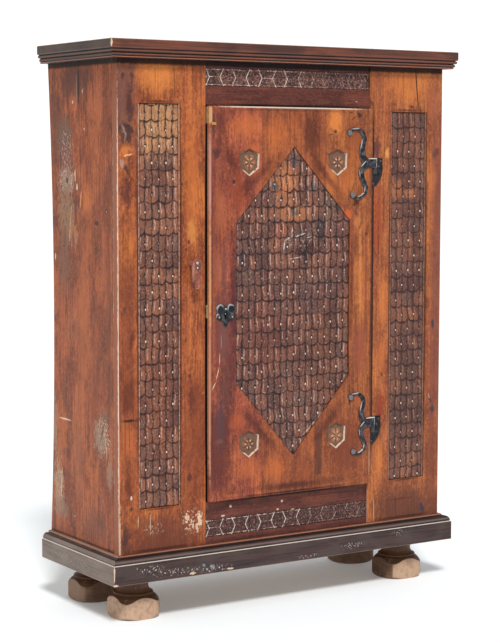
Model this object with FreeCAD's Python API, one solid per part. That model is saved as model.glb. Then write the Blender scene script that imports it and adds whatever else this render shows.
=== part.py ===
"""Bonnetiere: a one-door cupboard on squared bun feet, with carved front boards, moulded cornice and plinth.

Millimetres, +Z up, the door faces -Y.  The origin is on the floor, under the middle of the cornice's plan.
Every sub-part is one STEP file in parts/, named as a cabinet maker would name the piece.
"""
import FreeCAD, Part
import math
import os

V = FreeCAD.Vector

# ---------------------------------------------------------------------------------------------------- whole cabinet
CABINET_HEIGHT = 1750.0
BODY_WIDTH = 1216.0           # across the outside of the two sides
BODY_DEPTH = 450.0            # from the face of the front boards to the back edge of the sides
JOINT_CLEARANCE = 0.5         # a loose wooden joint, such as a tenon in its mortise
CUT_PAST = 1.0                # how far a cutting shape runs past the face it opens

# ------------------------------------------------------------------------------------------------------------- feet
FOOT_HEIGHT = 130.0
FOOT_HALF_WIDTH = 69.0        # from the axis to each of the four flats
FOOT_CORNER_RADIUS = 38.0
FOOT_BALL_RADIUS = 85.0
FOOT_BALL_LEVEL = 26.0
FOOT_BALL_FLARE = 5.0         # the ball under its widest level, in from its radius
FOOT_BASE_RADIUS = 70.0
FOOT_SHOULDER_LEVEL = 72.0    # where the ball meets the ring under the neck
FOOT_RING_RADIUS = 62.0
FOOT_RING_HEIGHT = 6.0
FOOT_WAIST_RADIUS = 47.0
FOOT_CAP_RADIUS = 54.0
FOOT_CAP_HEIGHT = 20.0
FOOT_CAP_EASE = 2.0           # small chamfer under the cap, and cove beside the ring
FOOT_INSET_X = 100.0          # foot axis in from the outside of a side
FOOT_INSET_Y = 93.0           # foot axis in from the front face, and from the back edge
TENON_RADIUS = 16.0
TENON_LENGTH = 42.0
TENON_CLEARANCE = 0.05

CORNER_BLOCK_HEIGHT = 60.0
CORNER_BLOCK_REACH = 62.0     # from the foot axis towards the middle of the cabinet

# ---------------------------------------------------------------------------------------------------------- carcass
SIDE_THICKNESS = 25.0
SIDE_BOW = 30.0               # how far the waney back edge of the left side curves in
FRONT_BOARD_THICKNESS = 28.0
LEFT_BOARD_WIDTH = 304.0      # front board beside the closing edge of the door
RIGHT_BOARD_WIDTH = 295.0     # front board beside the hinges
BOTTOM_RAIL_HEIGHT = 216.0
TOP_RAIL_HEIGHT = 166.0
RAIL_RECESS = 2.5             # frieze rails behind the face of the front boards
RAIL_THICKNESS = 24.0
RAIL_TENON_LENGTH = 38.0
RAIL_TENON_THICKNESS = 9.0
RAIL_TENON_SHOULDER = 30.0    # rail height left above and below its tenon

TOP_THICKNESS = 20.0
BACK_INSET = 32.0             # back planks in from the back edge of the sides
BACK_THICKNESS = 18.0
BACK_PLANKS = 5
BACK_GAP = 1.0
BACK_NAIL_INSET = 35.0        # from the edge of a back plank

CLEAT_SIZE = 25.0
CLEAT_SETBACK = 14.0          # cleat ends in from the shelf's front and back edges
BOTTOM_THICKNESS = 20.0
SHELF_THICKNESS = 20.0
SHELF_SETBACK = 18.0          # shelf front edge behind the front boards
SHELF_PITCH = 330.0           # from underside to underside, starting at the bottom board
SHELF_NAMES = ("lower", "middle", "upper")

# -------------------------------------------------------------------------------------------------- cornice, plinth
CORNICE_HEIGHT = 55.0
CORNICE_OVERHANG = 37.0
CORNICE_FASCIA = 28.0         # height of the flat member at the top
CORNICE_BEAD = 6.0            # height of the bead along the lower edge
CORNICE_REEDS = 2
CORNICE_STEP = 4.5            # each reed in from the member above it
CORNICE_GROOVE = 2.0

PLINTH_HEIGHT = 85.0
PLINTH_PROUD = 34.0
PLINTH_FASCIA = 61.0
PLINTH_GROOVE = 3.0
PLINTH_TOP_BEAD = 5.0
PLINTH_ARRIS = 1.0            # worn upper arris of the fascia

# ----------------------------------------------------------------------------------------------------------- carving
CARVING_DEPTH = 6.0           # sunk fields of the front boards and the door
SIDE_FIELD_WIDTH = 147.0
SIDE_FIELD_RISE = 217.0       # foot of each side field above the foot of the carcass
LEFT_FIELD_DROP = 165.0       # top of the left field below the top of the carcass
RIGHT_FIELD_DROP = 177.0
LEFT_FIELD_INSET = 70.0       # from the outer edge of the left front board to its field
RIGHT_FIELD_INSET = 62.0
FRIEZE_DEPTH = 3.5
FRIEZE_FIELD_HEIGHT = 54.0
FRIEZE_OFFSET = 84.0          # middle of each frieze from the edge of the door's opening
HEXAGON_OFFSET = 3.5          # centre line of the long hexagon, right of the middle of the door
HEXAGON_MARGIN = 90.5         # half the door's width beyond half the hexagon's
HEXAGON_RISE = 118.0          # low point above the foot of the door
HEXAGON_DROP = 121.0          # high point below the top of the door
HEXAGON_POINT_LOW = 243.0     # height of the two slanting edges below
HEXAGON_POINT_HIGH = 233.0    # height of the two slanting edges above
SHIELD_WIDTH = 74.0
SHIELD_HEIGHT = 86.0
SHIELD_SHOULDER = 14.0        # upper corners below the top point
SHIELD_WAIST = 25.0           # lower corners above the low point
SHIELD_TAPER = 2.0            # lower corners in from the sides
SHIELD_DEPTH = 4.0
SHIELD_RISE = 50.0            # middle of a shield from the nearest point of the hexagon
SHIELD_INSET = 49.0           # middle of a shield in from the side of the hexagon

# ------------------------------------------------------------------------------------------------------------- door
DOOR_THICKNESS = 30.0
DOOR_PROUD = 18.0             # door face in front of the front boards
DOOR_GAP_LEFT = 5.0
DOOR_GAP_RIGHT = 1.0
DOOR_GAP_LOW = 3.0
DOOR_GAP_HIGH = 3.0
DOOR_CHAMFER = 4.5
LEFT_PLANK_WIDTH = 189.0
RIGHT_PLANK_WIDTH = 184.0
DOOR_DOWEL_RADIUS = 5.0
DOOR_DOWEL_LENGTH = 64.0
DOOR_DOWEL_INSET = 130.0      # from the ends of the door to the outer dowels
BATTEN_HEIGHT = 95.0
BATTEN_THICKNESS = 22.0
BATTEN_INSET_X = 18.0         # batten ends in from the edges of the door
BATTEN_INSET_Z = 115.0        # battens in from the ends of the door
BATTEN_NAIL_INSET = 24.0

# ----------------------------------------------------------------------------------------------------------- hinges
HINGE_DROP = 173.0            # upper strap below the top of the door
HINGE_RISE = 201.0            # lower strap above the foot of the door
LEAF_THICKNESS = 4.0
EYE_RADIUS = 8.0
EYE_HEIGHT = 32.0
EYE_GAP = 11.0                # pin axis to the edge of the door
PIN_RADIUS = 4.5
PIN_CLEARANCE = 0.05
PIN_RISE = 3.0                # pin above its eye
BOSS_HEIGHT = 18.0
BOSS_CLEARANCE = 0.5
PINTLE_PLATE_THICKNESS = 4.0
PINTLE_PLATE_REACH = 40.0     # pin axis to the outer edge of the plate
PINTLE_TAIL_LENGTH = 76.0     # below the level of the strap
STRAP_LENGTH = 38.0
STRAP_NAIL_RISE = 4.0         # strap's nail above the strap's level
TOP_SCROLL_UNIT = 100.0       # one unit of the scroll tables, for the upper and the lower hinge
BOTTOM_SCROLL_UNIT = 90.0
# Centre line of each scroll from the pin axis and the strap's level, with its width: across, up, width.
SCROLL_UP = ((-0.32, 0.03, 0.26), (-0.47, 0.12, 0.24), (-0.54, 0.29, 0.225), (-0.54, 0.45, 0.21),
             (-0.50, 0.59, 0.185), (-0.455, 0.74, 0.165), (-0.49, 0.90, 0.145), (-0.61, 1.03, 0.12),
             (-0.78, 1.08, 0.105), (-0.94, 1.05, 0.10), (-1.03, 0.96, 0.10))
SCROLL_DOWN = ((-0.32, -0.03, 0.24), (-0.50, -0.15, 0.21), (-0.57, -0.30, 0.195), (-0.535, -0.47, 0.19),
               (-0.45, -0.65, 0.18), (-0.38, -0.81, 0.155), (-0.43, -0.96, 0.13), (-0.56, -1.07, 0.11),
               (-0.71, -1.11, 0.10), (-0.84, -1.085, 0.095), (-0.91, -1.01, 0.095))
SCROLL_KNOB_RADIUS = 9.0
SCROLL_KNOB_HEIGHT = 6.0      # knob above the back of the leaf

# ------------------------------------------------------------------------------------------------------------ nails
NAIL_HEAD_RADIUS = 4.0
NAIL_HEAD_HEIGHT = 2.2
NAIL_RADIUS = 2.0
NAIL_LENGTH = 24.0            # shank under its head

# ------------------------------------------------------------------------------------------------- lock, escutcheon
LOCK_INSET = 56.0             # centre line of the keyhole in from the closing edge of the door
LOCK_RISE = 573.0             # lock's level above the foot of the door
ESCUTCHEON_THICKNESS = 2.5
# Right half of the plate's outline from the keyhole's centre: across, up.
ESCUTCHEON_HALF = ((0, 27), (8, 34), (19, 36), (30, 31), (35.5, 20), (31, 9.5), (34, 0), (28, -11), (16, -15.5),
                   (9, -21), (6.5, -30), (0, -36))
KEYHOLE_RADIUS = 5.0
KEYHOLE_RISE = 6.0            # centre of the round part above the lock's level
KEYHOLE_WIDTH = 5.0
KEYHOLE_DROP = 11.0           # foot of the slot below the lock's level
KEY_PIN_RADIUS = 1.5
KEY_PIN_RIVET = 1.0           # how far the pin is let into the back of the case
LOCK_CASE_WIDTH = 78.0
LOCK_CASE_HEIGHT = 90.0
LOCK_CASE_DEPTH = 19.0
LOCK_CASE_WALL = 2.0
LOCK_CASE_PROUD = 4.5         # case behind the back of the door
FOREND_THICKNESS = 2.0
FOREND_HEIGHT = 40.0
FOREND_WIDTH = 20.0
BOLT_RISE = 14.0              # middle of the bolt above the lock's level
BOLT_HEIGHT = 22.0
BOLT_THICKNESS = 6.0
BOLT_LENGTH = 48.0
BOLT_SETBACK = 12.0           # front of the bolt behind the front of the case
BOLT_CLEARANCE = 0.15
BOLT_REST = 0.5               # end of the drawn bolt inside the edge of the door
BOLT_THROW = 13.0
KEEP_THICKNESS = 1.5
KEEP_WIDTH = 12.0
KEEP_HEIGHT = 50.0
MORTISE_CLEARANCE = 0.4

# ------------------------------------------------------------------------------------------------------ turn-button
BUTTON_INSET = 48.0           # pivot from the inner edge of the left front board
BUTTON_RISE = 166.0           # pivot above the lock's level
BUTTON_WIDTH = 25.0
BUTTON_TIP_WIDTH = 21.0
BUTTON_REACH = 79.0           # pivot to tip
BUTTON_THICKNESS = 13.0
BUTTON_CLEARANCE = 1.5        # behind the button, over the face of the door
BUTTON_BORE_CLEARANCE = 0.08
SPACER_RADIUS = 13.0
PIVOT_RADIUS = 3.0
PIVOT_HEAD_RADIUS = 5.5
PIVOT_HEAD_HEIGHT = 2.4
PIVOT_HEAD_GAP = 0.25
PIVOT_DEPTH = 24.0            # pivot nail into the front board
BUTTON_PIN_OFFSET = 15.0      # second pin from the pivot

# ---------------------------------------------------------------------------------------------------- worked-out planes
SIDE_X = BODY_WIDTH / 2
FRONT_Y = CORNICE_OVERHANG / 2 - BODY_DEPTH / 2
BACK_Y = FRONT_Y + BODY_DEPTH
INSIDE_X = SIDE_X - SIDE_THICKNESS
INSIDE_Y = FRONT_Y + FRONT_BOARD_THICKNESS
BACK_FACE_Y = BACK_Y - BACK_INSET
BACK_INSIDE_Y = BACK_FACE_Y - BACK_THICKNESS
CARCASS_LOW = FOOT_HEIGHT
CARCASS_HIGH = CABINET_HEIGHT - TOP_THICKNESS
OPENING_LEFT = LEFT_BOARD_WIDTH - SIDE_X
OPENING_RIGHT = SIDE_X - RIGHT_BOARD_WIDTH
OPENING_LOW = CARCASS_LOW + BOTTOM_RAIL_HEIGHT
OPENING_HIGH = CARCASS_HIGH - TOP_RAIL_HEIGHT
BOTTOM_LEVEL = FOOT_HEIGHT + CORNER_BLOCK_HEIGHT + CLEAT_SIZE
SHELVES = tuple((name, BOTTOM_LEVEL + SHELF_PITCH * (i + 1)) for i, name in enumerate(SHELF_NAMES))
FOOT_X = SIDE_X - FOOT_INSET_X
FOOT_Y = {"front": FRONT_Y + FOOT_INSET_Y, "rear": BACK_Y - FOOT_INSET_Y}

DOOR_LEFT = OPENING_LEFT + DOOR_GAP_LEFT
DOOR_RIGHT = OPENING_RIGHT - DOOR_GAP_RIGHT
DOOR_LOW = OPENING_LOW + DOOR_GAP_LOW
DOOR_HIGH = OPENING_HIGH - DOOR_GAP_HIGH
DOOR_FACE_Y = FRONT_Y - DOOR_PROUD
DOOR_BACK_Y = DOOR_FACE_Y + DOOR_THICKNESS
DOOR_JOINTS = (DOOR_LEFT + LEFT_PLANK_WIDTH, DOOR_RIGHT - RIGHT_PLANK_WIDTH)

HEXAGON_CENTRE_X = (DOOR_LEFT + DOOR_RIGHT) / 2 + HEXAGON_OFFSET
HEXAGON_HALF_WIDTH = (DOOR_RIGHT - DOOR_LEFT) / 2 - HEXAGON_MARGIN
HEXAGON_LOW = DOOR_LOW + HEXAGON_RISE
HEXAGON_HIGH = DOOR_HIGH - HEXAGON_DROP

LEAF_FACE_Y = DOOR_FACE_Y - LEAF_THICKNESS
HINGE_X = DOOR_RIGHT + EYE_GAP
HINGE_Y = LEAF_FACE_Y + EYE_RADIUS
# Name, level of the strap and unit of the scrolls.
HINGES = (("top", DOOR_HIGH - HINGE_DROP, TOP_SCROLL_UNIT), ("bottom", DOOR_LOW + HINGE_RISE, BOTTOM_SCROLL_UNIT))

LOCK_X = DOOR_LEFT + LOCK_INSET
LOCK_LEVEL = DOOR_LOW + LOCK_RISE
LOCK_BACK_Y = DOOR_BACK_Y + LOCK_CASE_PROUD
LOCK_FRONT_Y = LOCK_BACK_Y - LOCK_CASE_DEPTH
LOCK_MIDDLE_Z = LOCK_LEVEL + BOLT_RISE / 2
BOLT_Y = LOCK_FRONT_Y + BOLT_SETBACK
BOLT_Z = LOCK_LEVEL + BOLT_RISE

BUTTON_PIVOT_X = OPENING_LEFT - BUTTON_INSET
BUTTON_LEVEL = LOCK_LEVEL + BUTTON_RISE
BUTTON_BACK_Y = DOOR_FACE_Y - BUTTON_CLEARANCE
BUTTON_FRONT_Y = BUTTON_BACK_Y - BUTTON_THICKNESS


# ------------------------------------------------------------------------------------------------------------- shapes
def block(x0, x1, y0, y1, z0, z1):
    """A rectangular block between two corners."""
    return Part.makeBox(x1 - x0, y1 - y0, z1 - z0, V(x0, y0, z0))


def outline(start, steps):
    """A closed wire of (across, up) points: a step is an end point, or a middle and an end point for an arc."""
    edges = []
    here = V(start[0], 0, start[1])
    for step in list(steps) + [start]:
        if isinstance(step[0], tuple):
            middle = V(step[0][0], 0, step[0][1])
            end = V(step[1][0], 0, step[1][1])
            edges.append(Part.Arc(here, middle, end).toShape())
        else:
            end = V(step[0], 0, step[1])
            if end.distanceToPoint(here) < 1e-6:
                continue
            edges.append(Part.makeLine(here, end))
        here = end
    return Part.Wire(edges)


def plate(start, steps, y0, y1):
    """An outline in the XZ plane, given thickness from y0 to y1."""
    face = Part.Face(outline(start, steps))
    face.translate(V(0, y0, 0))
    return face.extrude(V(0, y1 - y0, 0))


def turned(start, steps, x, y):
    """A half-outline of (radius, level), turned about the upright line through (x, y)."""
    solid = Part.Face(outline(start, steps)).revolve(V(0, 0, 0), V(0, 0, 1), 360)
    solid.translate(V(x, y, 0))
    return solid


def prism(points, z0, z1):
    """A plan outline of (x, y) points between two levels."""
    corners = [V(x, y, z0) for x, y in points]
    return Part.Face(Part.makePolygon(corners + corners[:1])).extrude(V(0, 0, z1 - z0))


def rod(radius, start, end):
    """A round bar between two points."""
    path = end.sub(start)
    return Part.makeCylinder(radius, path.Length, start, path)


def nail(x, y, z, inward, length=NAIL_LENGTH, head=NAIL_HEAD_RADIUS, height=NAIL_HEAD_HEIGHT, shank=NAIL_RADIUS):
    """A forged nail along Y: domed head on the face at y, shank driven the way inward (+1 or -1) points."""
    dome_radius = (head ** 2 + height ** 2) / (2 * height)
    centre = V(x, y + inward * (dome_radius - height), z)
    ball = Part.makeSphere(dome_radius, centre)
    slab = rod(head * 1.01, V(x, y - inward * height * 1.01, z), V(x, y, z))
    dome = ball.common(slab)
    return dome.fuse(rod(shank, V(x, y, z), V(x, y + inward * length, z))).removeSplitter()


def group(solids):
    """Separate solids that share one node."""
    return Part.makeCompound(solids)


def save(name, shape):
    """Write one node and say what it is."""
    shape.exportStep("parts/%s.step" % name)
    print("%-24s %2d solid  %10.0f mm3  valid %s" % (name, len(shape.Solids), shape.Volume, shape.isValid()))


# -------------------------------------------------------------------------------------------------------- mouldings
def cornice_section():
    """Section of the cornice: bead, reeds stepping out, then the flat fascia with its worn upper edge."""
    low = CABINET_HEIGHT - CORNICE_HEIGHT
    fascia = CORNICE_HEIGHT - CORNICE_FASCIA
    reed = (fascia - CORNICE_BEAD) / CORNICE_REEDS
    inner = CORNICE_OVERHANG - CORNICE_STEP * (CORNICE_REEDS + 1)
    round_over = CORNICE_FASCIA / 8
    steps = [(inner, low), ((inner + CORNICE_BEAD / 2, low + CORNICE_BEAD / 2), (inner, low + CORNICE_BEAD))]
    for i in range(CORNICE_REEDS):
        foot = low + CORNICE_BEAD + reed * i
        face = inner + CORNICE_STEP * (i + 1)
        steps += [(face, foot), ((face + reed / 6, foot + reed * 0.4), (face, foot + reed * 0.8)),
                  (face - CORNICE_GROOVE, foot + reed * 0.8), (face - CORNICE_GROOVE, foot + reed)]
    top = low + CORNICE_HEIGHT
    face = CORNICE_OVERHANG
    steps += [(face - round_over / 2, low + fascia), (face, low + fascia + round_over), (face, top - round_over),
              ((face - round_over * 0.3, top - round_over * 0.3), (face - round_over, top)), (0, top)]
    return (0, low), steps


def plinth_section():
    """Section of the plinth: tall fascia, groove, ovolo, groove and the top bead against the front boards."""
    low = FOOT_HEIGHT
    fascia = low + PLINTH_FASCIA
    top = low + PLINTH_HEIGHT
    ovolo_low = fascia + PLINTH_GROOVE
    ovolo_high = top - PLINTH_TOP_BEAD - PLINTH_GROOVE / 2
    outer = PLINTH_PROUD - PLINTH_GROOVE
    inner = PLINTH_PROUD * 0.4
    bead = inner - PLINTH_GROOVE
    steps = [(PLINTH_PROUD, low), (PLINTH_PROUD, fascia - PLINTH_ARRIS), (PLINTH_PROUD - PLINTH_ARRIS, fascia),
             (outer - PLINTH_GROOVE / 2, fascia), (outer - PLINTH_GROOVE / 2, ovolo_low), (outer, ovolo_low),
             ((outer - (outer - inner) * 0.25, ovolo_low + (ovolo_high - ovolo_low) * 0.72), (inner, ovolo_high)),
             (bead, ovolo_high), (bead, top - PLINTH_TOP_BEAD),
             ((bead - PLINTH_TOP_BEAD * 0.2, top - PLINTH_TOP_BEAD * 0.25), (bead - PLINTH_TOP_BEAD * 0.8, top)),
             (0, top)]
    return (0, low), steps


def moulding(section, side):
    """A length of moulding on the front, left or right of the body, mitred at the front corners."""
    start, steps = section()
    profile = Part.Face(outline(start, steps))
    box = profile.BoundBox
    proud = box.XMax
    # The section lies in XZ with its outward direction along +X; it is turned to face the side it belongs to.
    if side == "front":
        profile.rotate(V(0, 0, 0), V(0, 0, 1), -90)
        profile.translate(V(-SIDE_X - proud, FRONT_Y, 0))
        bar = profile.extrude(V(BODY_WIDTH + 2 * proud, 0, 0))
        plan = [(-SIDE_X - proud, FRONT_Y - proud), (SIDE_X + proud, FRONT_Y - proud), (SIDE_X, FRONT_Y),
                (-SIDE_X, FRONT_Y)]
    else:
        hand = -1 if side == "left" else 1
        if hand < 0:
            profile.rotate(V(0, 0, 0), V(0, 0, 1), 180)
        profile.translate(V(hand * SIDE_X, FRONT_Y - proud, 0))
        bar = profile.extrude(V(0, BODY_DEPTH + proud, 0))
        plan = [(hand * (SIDE_X + proud), FRONT_Y - proud), (hand * SIDE_X, FRONT_Y), (hand * SIDE_X, BACK_Y),
                (hand * (SIDE_X + proud), BACK_Y)]
    return bar.common(prism(plan, box.ZMin, box.ZMax))


# ------------------------------------------------------------------------------------------------------ feet, blocks
def foot(x, y):
    """A bun foot turned from square stock a little small for it, so that four flats are left on the ball."""
    neck = FOOT_SHOULDER_LEVEL + FOOT_RING_HEIGHT
    cap = FOOT_HEIGHT - FOOT_CAP_HEIGHT
    ball_rise = FOOT_SHOULDER_LEVEL - FOOT_BALL_LEVEL
    ball_width = FOOT_BALL_RADIUS - FOOT_RING_RADIUS
    steps = [(FOOT_BASE_RADIUS, 0),
             ((FOOT_BALL_RADIUS - FOOT_BALL_FLARE, FOOT_BALL_LEVEL * 0.3), (FOOT_BALL_RADIUS, FOOT_BALL_LEVEL)),
             ((FOOT_BALL_RADIUS - ball_width * 0.2, FOOT_BALL_LEVEL + ball_rise * 0.55),
              (FOOT_RING_RADIUS - FOOT_CAP_EASE, FOOT_SHOULDER_LEVEL)),
             ((FOOT_RING_RADIUS, FOOT_SHOULDER_LEVEL + FOOT_RING_HEIGHT / 2), (FOOT_RING_RADIUS - FOOT_CAP_EASE, neck)),
             ((FOOT_WAIST_RADIUS, (neck + cap) / 2), (FOOT_CAP_RADIUS - FOOT_CAP_EASE, cap)),
             (FOOT_CAP_RADIUS, cap + FOOT_CAP_EASE), (FOOT_CAP_RADIUS, FOOT_HEIGHT),
             (TENON_RADIUS, FOOT_HEIGHT), (TENON_RADIUS, FOOT_HEIGHT + TENON_LENGTH), (0, FOOT_HEIGHT + TENON_LENGTH)]
    solid = turned((0, 0), steps, x, y)
    square = block(x - FOOT_HALF_WIDTH, x + FOOT_HALF_WIDTH, y - FOOT_HALF_WIDTH, y + FOOT_HALF_WIDTH,
                   -CUT_PAST, FOOT_HEIGHT + TENON_LENGTH + CUT_PAST)
    corners = [e for e in square.Edges if e.BoundBox.ZLength > FOOT_HEIGHT]
    return solid.common(square.makeFillet(FOOT_CORNER_RADIUS, corners))


def corner_block(hand, end):
    """A glue block in a bottom corner, bored for the tenon of its foot."""
    axis_x, axis_y = hand * FOOT_X, FOOT_Y[end]
    xs = sorted((hand * INSIDE_X, axis_x - hand * CORNER_BLOCK_REACH))
    ys = (INSIDE_Y, axis_y + CORNER_BLOCK_REACH) if end == "front" else (axis_y - CORNER_BLOCK_REACH, BACK_INSIDE_Y)
    solid = block(xs[0], xs[1], ys[0], ys[1], FOOT_HEIGHT, FOOT_HEIGHT + CORNER_BLOCK_HEIGHT)
    bore = rod(TENON_RADIUS + TENON_CLEARANCE, V(axis_x, axis_y, FOOT_HEIGHT),
               V(axis_x, axis_y, FOOT_HEIGHT + TENON_LENGTH + JOINT_CLEARANCE))
    return solid.cut(bore)


# ------------------------------------------------------------------------------------------------------------ carcass
def side_board(hand):
    """One side; the back edge of the left one is waney and bows inwards between the plinth and the cornice."""
    y_low, y_high = INSIDE_Y, BACK_Y
    low = FOOT_HEIGHT + PLINTH_HEIGHT
    high = CABINET_HEIGHT - CORNICE_HEIGHT
    xs = sorted((hand * SIDE_X, hand * INSIDE_X))
    solid = block(xs[0], xs[1], y_low, y_high, CARCASS_LOW, CARCASS_HIGH)
    if hand < 0:
        bow = Part.Arc(V(xs[0], y_high, low), V(xs[0], y_high - SIDE_BOW, (low + high) / 2), V(xs[0], y_high, high))
        chord = Part.makeLine(V(xs[0], y_high, high), V(xs[0], y_high, low))
        sliver = Part.Face(Part.Wire([bow.toShape(), chord])).extrude(V(SIDE_THICKNESS, 0, 0))
        solid = solid.cut(sliver)
    return solid


def side_field(hand):
    """The sunk field on a front board."""
    inset, drop = (LEFT_FIELD_INSET, LEFT_FIELD_DROP) if hand < 0 else (RIGHT_FIELD_INSET, RIGHT_FIELD_DROP)
    outer = hand * (SIDE_X - inset)
    xs = sorted((outer, outer - hand * SIDE_FIELD_WIDTH))
    return block(xs[0], xs[1], FRONT_Y - CUT_PAST, FRONT_Y + CARVING_DEPTH,
                 CARCASS_LOW + SIDE_FIELD_RISE, CARCASS_HIGH - drop)


def rail_tenon(hand, low, high, extra=0.0):
    """The tenon at one end of a frieze rail, or its mortise when extra is the joint's clearance."""
    shoulder = OPENING_LEFT if hand < 0 else OPENING_RIGHT
    middle = FRONT_Y + RAIL_RECESS + RAIL_THICKNESS / 2
    xs = sorted((shoulder, shoulder + hand * (RAIL_TENON_LENGTH + extra)))
    return block(xs[0], xs[1], middle - RAIL_TENON_THICKNESS / 2, middle + RAIL_TENON_THICKNESS / 2,
                 low + RAIL_TENON_SHOULDER, high - RAIL_TENON_SHOULDER)


def front_board(hand):
    """A tall carved board beside the door, mortised for the two frieze rails."""
    inner = OPENING_LEFT if hand < 0 else OPENING_RIGHT
    xs = sorted((hand * SIDE_X, inner))
    solid = block(xs[0], xs[1], FRONT_Y, INSIDE_Y, CARCASS_LOW, CARCASS_HIGH)
    for low, high in ((CARCASS_LOW, OPENING_LOW), (OPENING_HIGH, CARCASS_HIGH)):
        solid = solid.cut(rail_tenon(hand, low, high, JOINT_CLEARANCE))
    return solid.cut(side_field(hand))


def frieze_rail(low, high, field_level):
    """A rail across the opening with its sunk frieze and a tenon at each end."""
    front = FRONT_Y + RAIL_RECESS
    solid = block(OPENING_LEFT, OPENING_RIGHT, front, front + RAIL_THICKNESS, low, high)
    for hand in (-1, 1):
        solid = solid.fuse(rail_tenon(hand, low, high))
    field = block(OPENING_LEFT - CUT_PAST, OPENING_RIGHT + CUT_PAST, front - CUT_PAST, front + FRIEZE_DEPTH,
                  field_level - FRIEZE_FIELD_HEIGHT / 2, field_level + FRIEZE_FIELD_HEIGHT / 2)
    return solid.cut(field).removeSplitter()


def back_plank_span(index):
    """Left and right edge of one back plank."""
    pitch = (2 * INSIDE_X + BACK_GAP) / BACK_PLANKS
    left = -INSIDE_X + pitch * index
    return left, left + pitch - BACK_GAP


def back_nails():
    """Nails through the back planks into the shelves and the bottom board."""
    levels = [BOTTOM_LEVEL + BOTTOM_THICKNESS / 2] + [level + SHELF_THICKNESS / 2 for _, level in SHELVES]
    nails = []
    for index in range(BACK_PLANKS):
        left, right = back_plank_span(index)
        for x in (left + BACK_NAIL_INSET, right - BACK_NAIL_INSET):
            nails += [nail(x, BACK_FACE_Y, level, -1, BACK_THICKNESS + NAIL_LENGTH) for level in levels]
    return nails


def shelf_board(low, thickness, front):
    """A shelf or the bottom board between the sides."""
    return block(-INSIDE_X, INSIDE_X, front, BACK_INSIDE_Y, low, low + thickness)


def cleats(hand):
    """The cleats that carry the bottom board and the shelves on one side."""
    xs = sorted((hand * INSIDE_X, hand * (INSIDE_X - CLEAT_SIZE)))
    front = INSIDE_Y + SHELF_SETBACK + CLEAT_SETBACK
    levels = [BOTTOM_LEVEL] + [level for _, level in SHELVES]
    return [block(xs[0], xs[1], front, BACK_INSIDE_Y - CLEAT_SETBACK, level - CLEAT_SIZE, level) for level in levels]


# --------------------------------------------------------------------------------------------------------------- door
def hexagon_field():
    """The sunk long hexagon that runs across the three planks of the door."""
    x, half = HEXAGON_CENTRE_X, HEXAGON_HALF_WIDTH
    side_low, side_high = HEXAGON_LOW + HEXAGON_POINT_LOW, HEXAGON_HIGH - HEXAGON_POINT_HIGH
    points = [(x + half, side_low), (x + half, side_high), (x, HEXAGON_HIGH), (x - half, side_high),
              (x - half, side_low)]
    return plate((x, HEXAGON_LOW), points, DOOR_FACE_Y - CUT_PAST, DOOR_FACE_Y + CARVING_DEPTH)


def shield_fields():
    """Four sunk shields, pointed above and below, two at each level."""
    half = SHIELD_WIDTH / 2
    solids = []
    for level in (HEXAGON_LOW + SHIELD_RISE, HEXAGON_HIGH - SHIELD_RISE):
        low, high = level - SHIELD_HEIGHT / 2, level + SHIELD_HEIGHT / 2
        lower, upper, hollow = low + SHIELD_WAIST, high - SHIELD_SHOULDER, high - SHIELD_SHOULDER * 0.62
        for hand in (-1, 1):
            x = HEXAGON_CENTRE_X + hand * (HEXAGON_HALF_WIDTH - SHIELD_INSET)
            points = [(x + half - SHIELD_TAPER, lower), (x + half, upper), (x + half / 2, hollow), (x, high),
                      (x - half / 2, hollow), (x - half, upper), (x - half + SHIELD_TAPER, lower)]
            solids.append(plate((x, low), points, DOOR_FACE_Y - CUT_PAST, DOOR_FACE_Y + SHIELD_DEPTH))
    return solids


def chamfers():
    """Wedges that chamfer the closing edge and the top edge of the door."""
    # Each wedge starts past the two faces it cuts, so its legs are longer than the chamfer by that much.
    left, face, high = DOOR_LEFT - CUT_PAST, DOOR_FACE_Y - CUT_PAST, DOOR_HIGH + CUT_PAST
    leg = DOOR_CHAMFER + 2 * CUT_PAST
    upright = prism([(left, face), (left + leg, face), (left, face + leg)], DOOR_LOW - CUT_PAST, high)
    corners = [V(left, face, high - leg), V(left, face, high), V(left, face + leg, high)]
    level = Part.Face(Part.makePolygon(corners + corners[:1])).extrude(V(DOOR_RIGHT - left + CUT_PAST, 0, 0))
    return [upright, level]


def door_dowels():
    """Dowels across the two plank joints, at mid thickness."""
    levels = (DOOR_LOW + DOOR_DOWEL_INSET, (DOOR_LOW + DOOR_HIGH) / 2, DOOR_HIGH - DOOR_DOWEL_INSET)
    y = (DOOR_FACE_Y + DOOR_BACK_Y) / 2
    half = DOOR_DOWEL_LENGTH / 2
    return [rod(DOOR_DOWEL_RADIUS, V(x - half, y, z), V(x + half, y, z)) for x in DOOR_JOINTS for z in levels]


def batten(end):
    """A batten across the back of the door."""
    low = DOOR_LOW + BATTEN_INSET_Z if end == "bottom" else DOOR_HIGH - BATTEN_INSET_Z - BATTEN_HEIGHT
    return block(DOOR_LEFT + BATTEN_INSET_X, DOOR_RIGHT - BATTEN_INSET_X, DOOR_BACK_Y,
                 DOOR_BACK_Y + BATTEN_THICKNESS, low, low + BATTEN_HEIGHT)


def plank_span(index):
    """Left and right edge of one plank of the door."""
    edges = (DOOR_LEFT,) + DOOR_JOINTS + (DOOR_RIGHT,)
    return edges[index], edges[index + 1]


def batten_nails():
    """Two nails through each batten into each plank."""
    nails = []
    for end in ("bottom", "top"):
        box = batten(end).BoundBox
        levels = (box.ZMin + BATTEN_NAIL_INSET, box.ZMax - BATTEN_NAIL_INSET)
        for index in range(len(DOOR_JOINTS) + 1):
            left, right = plank_span(index)
            middle = (max(left, box.XMin) + min(right, box.XMax)) / 2
            nails += [nail(middle, box.YMax, z, -1, BATTEN_THICKNESS + NAIL_LENGTH / 2) for z in levels]
    return nails


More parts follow.
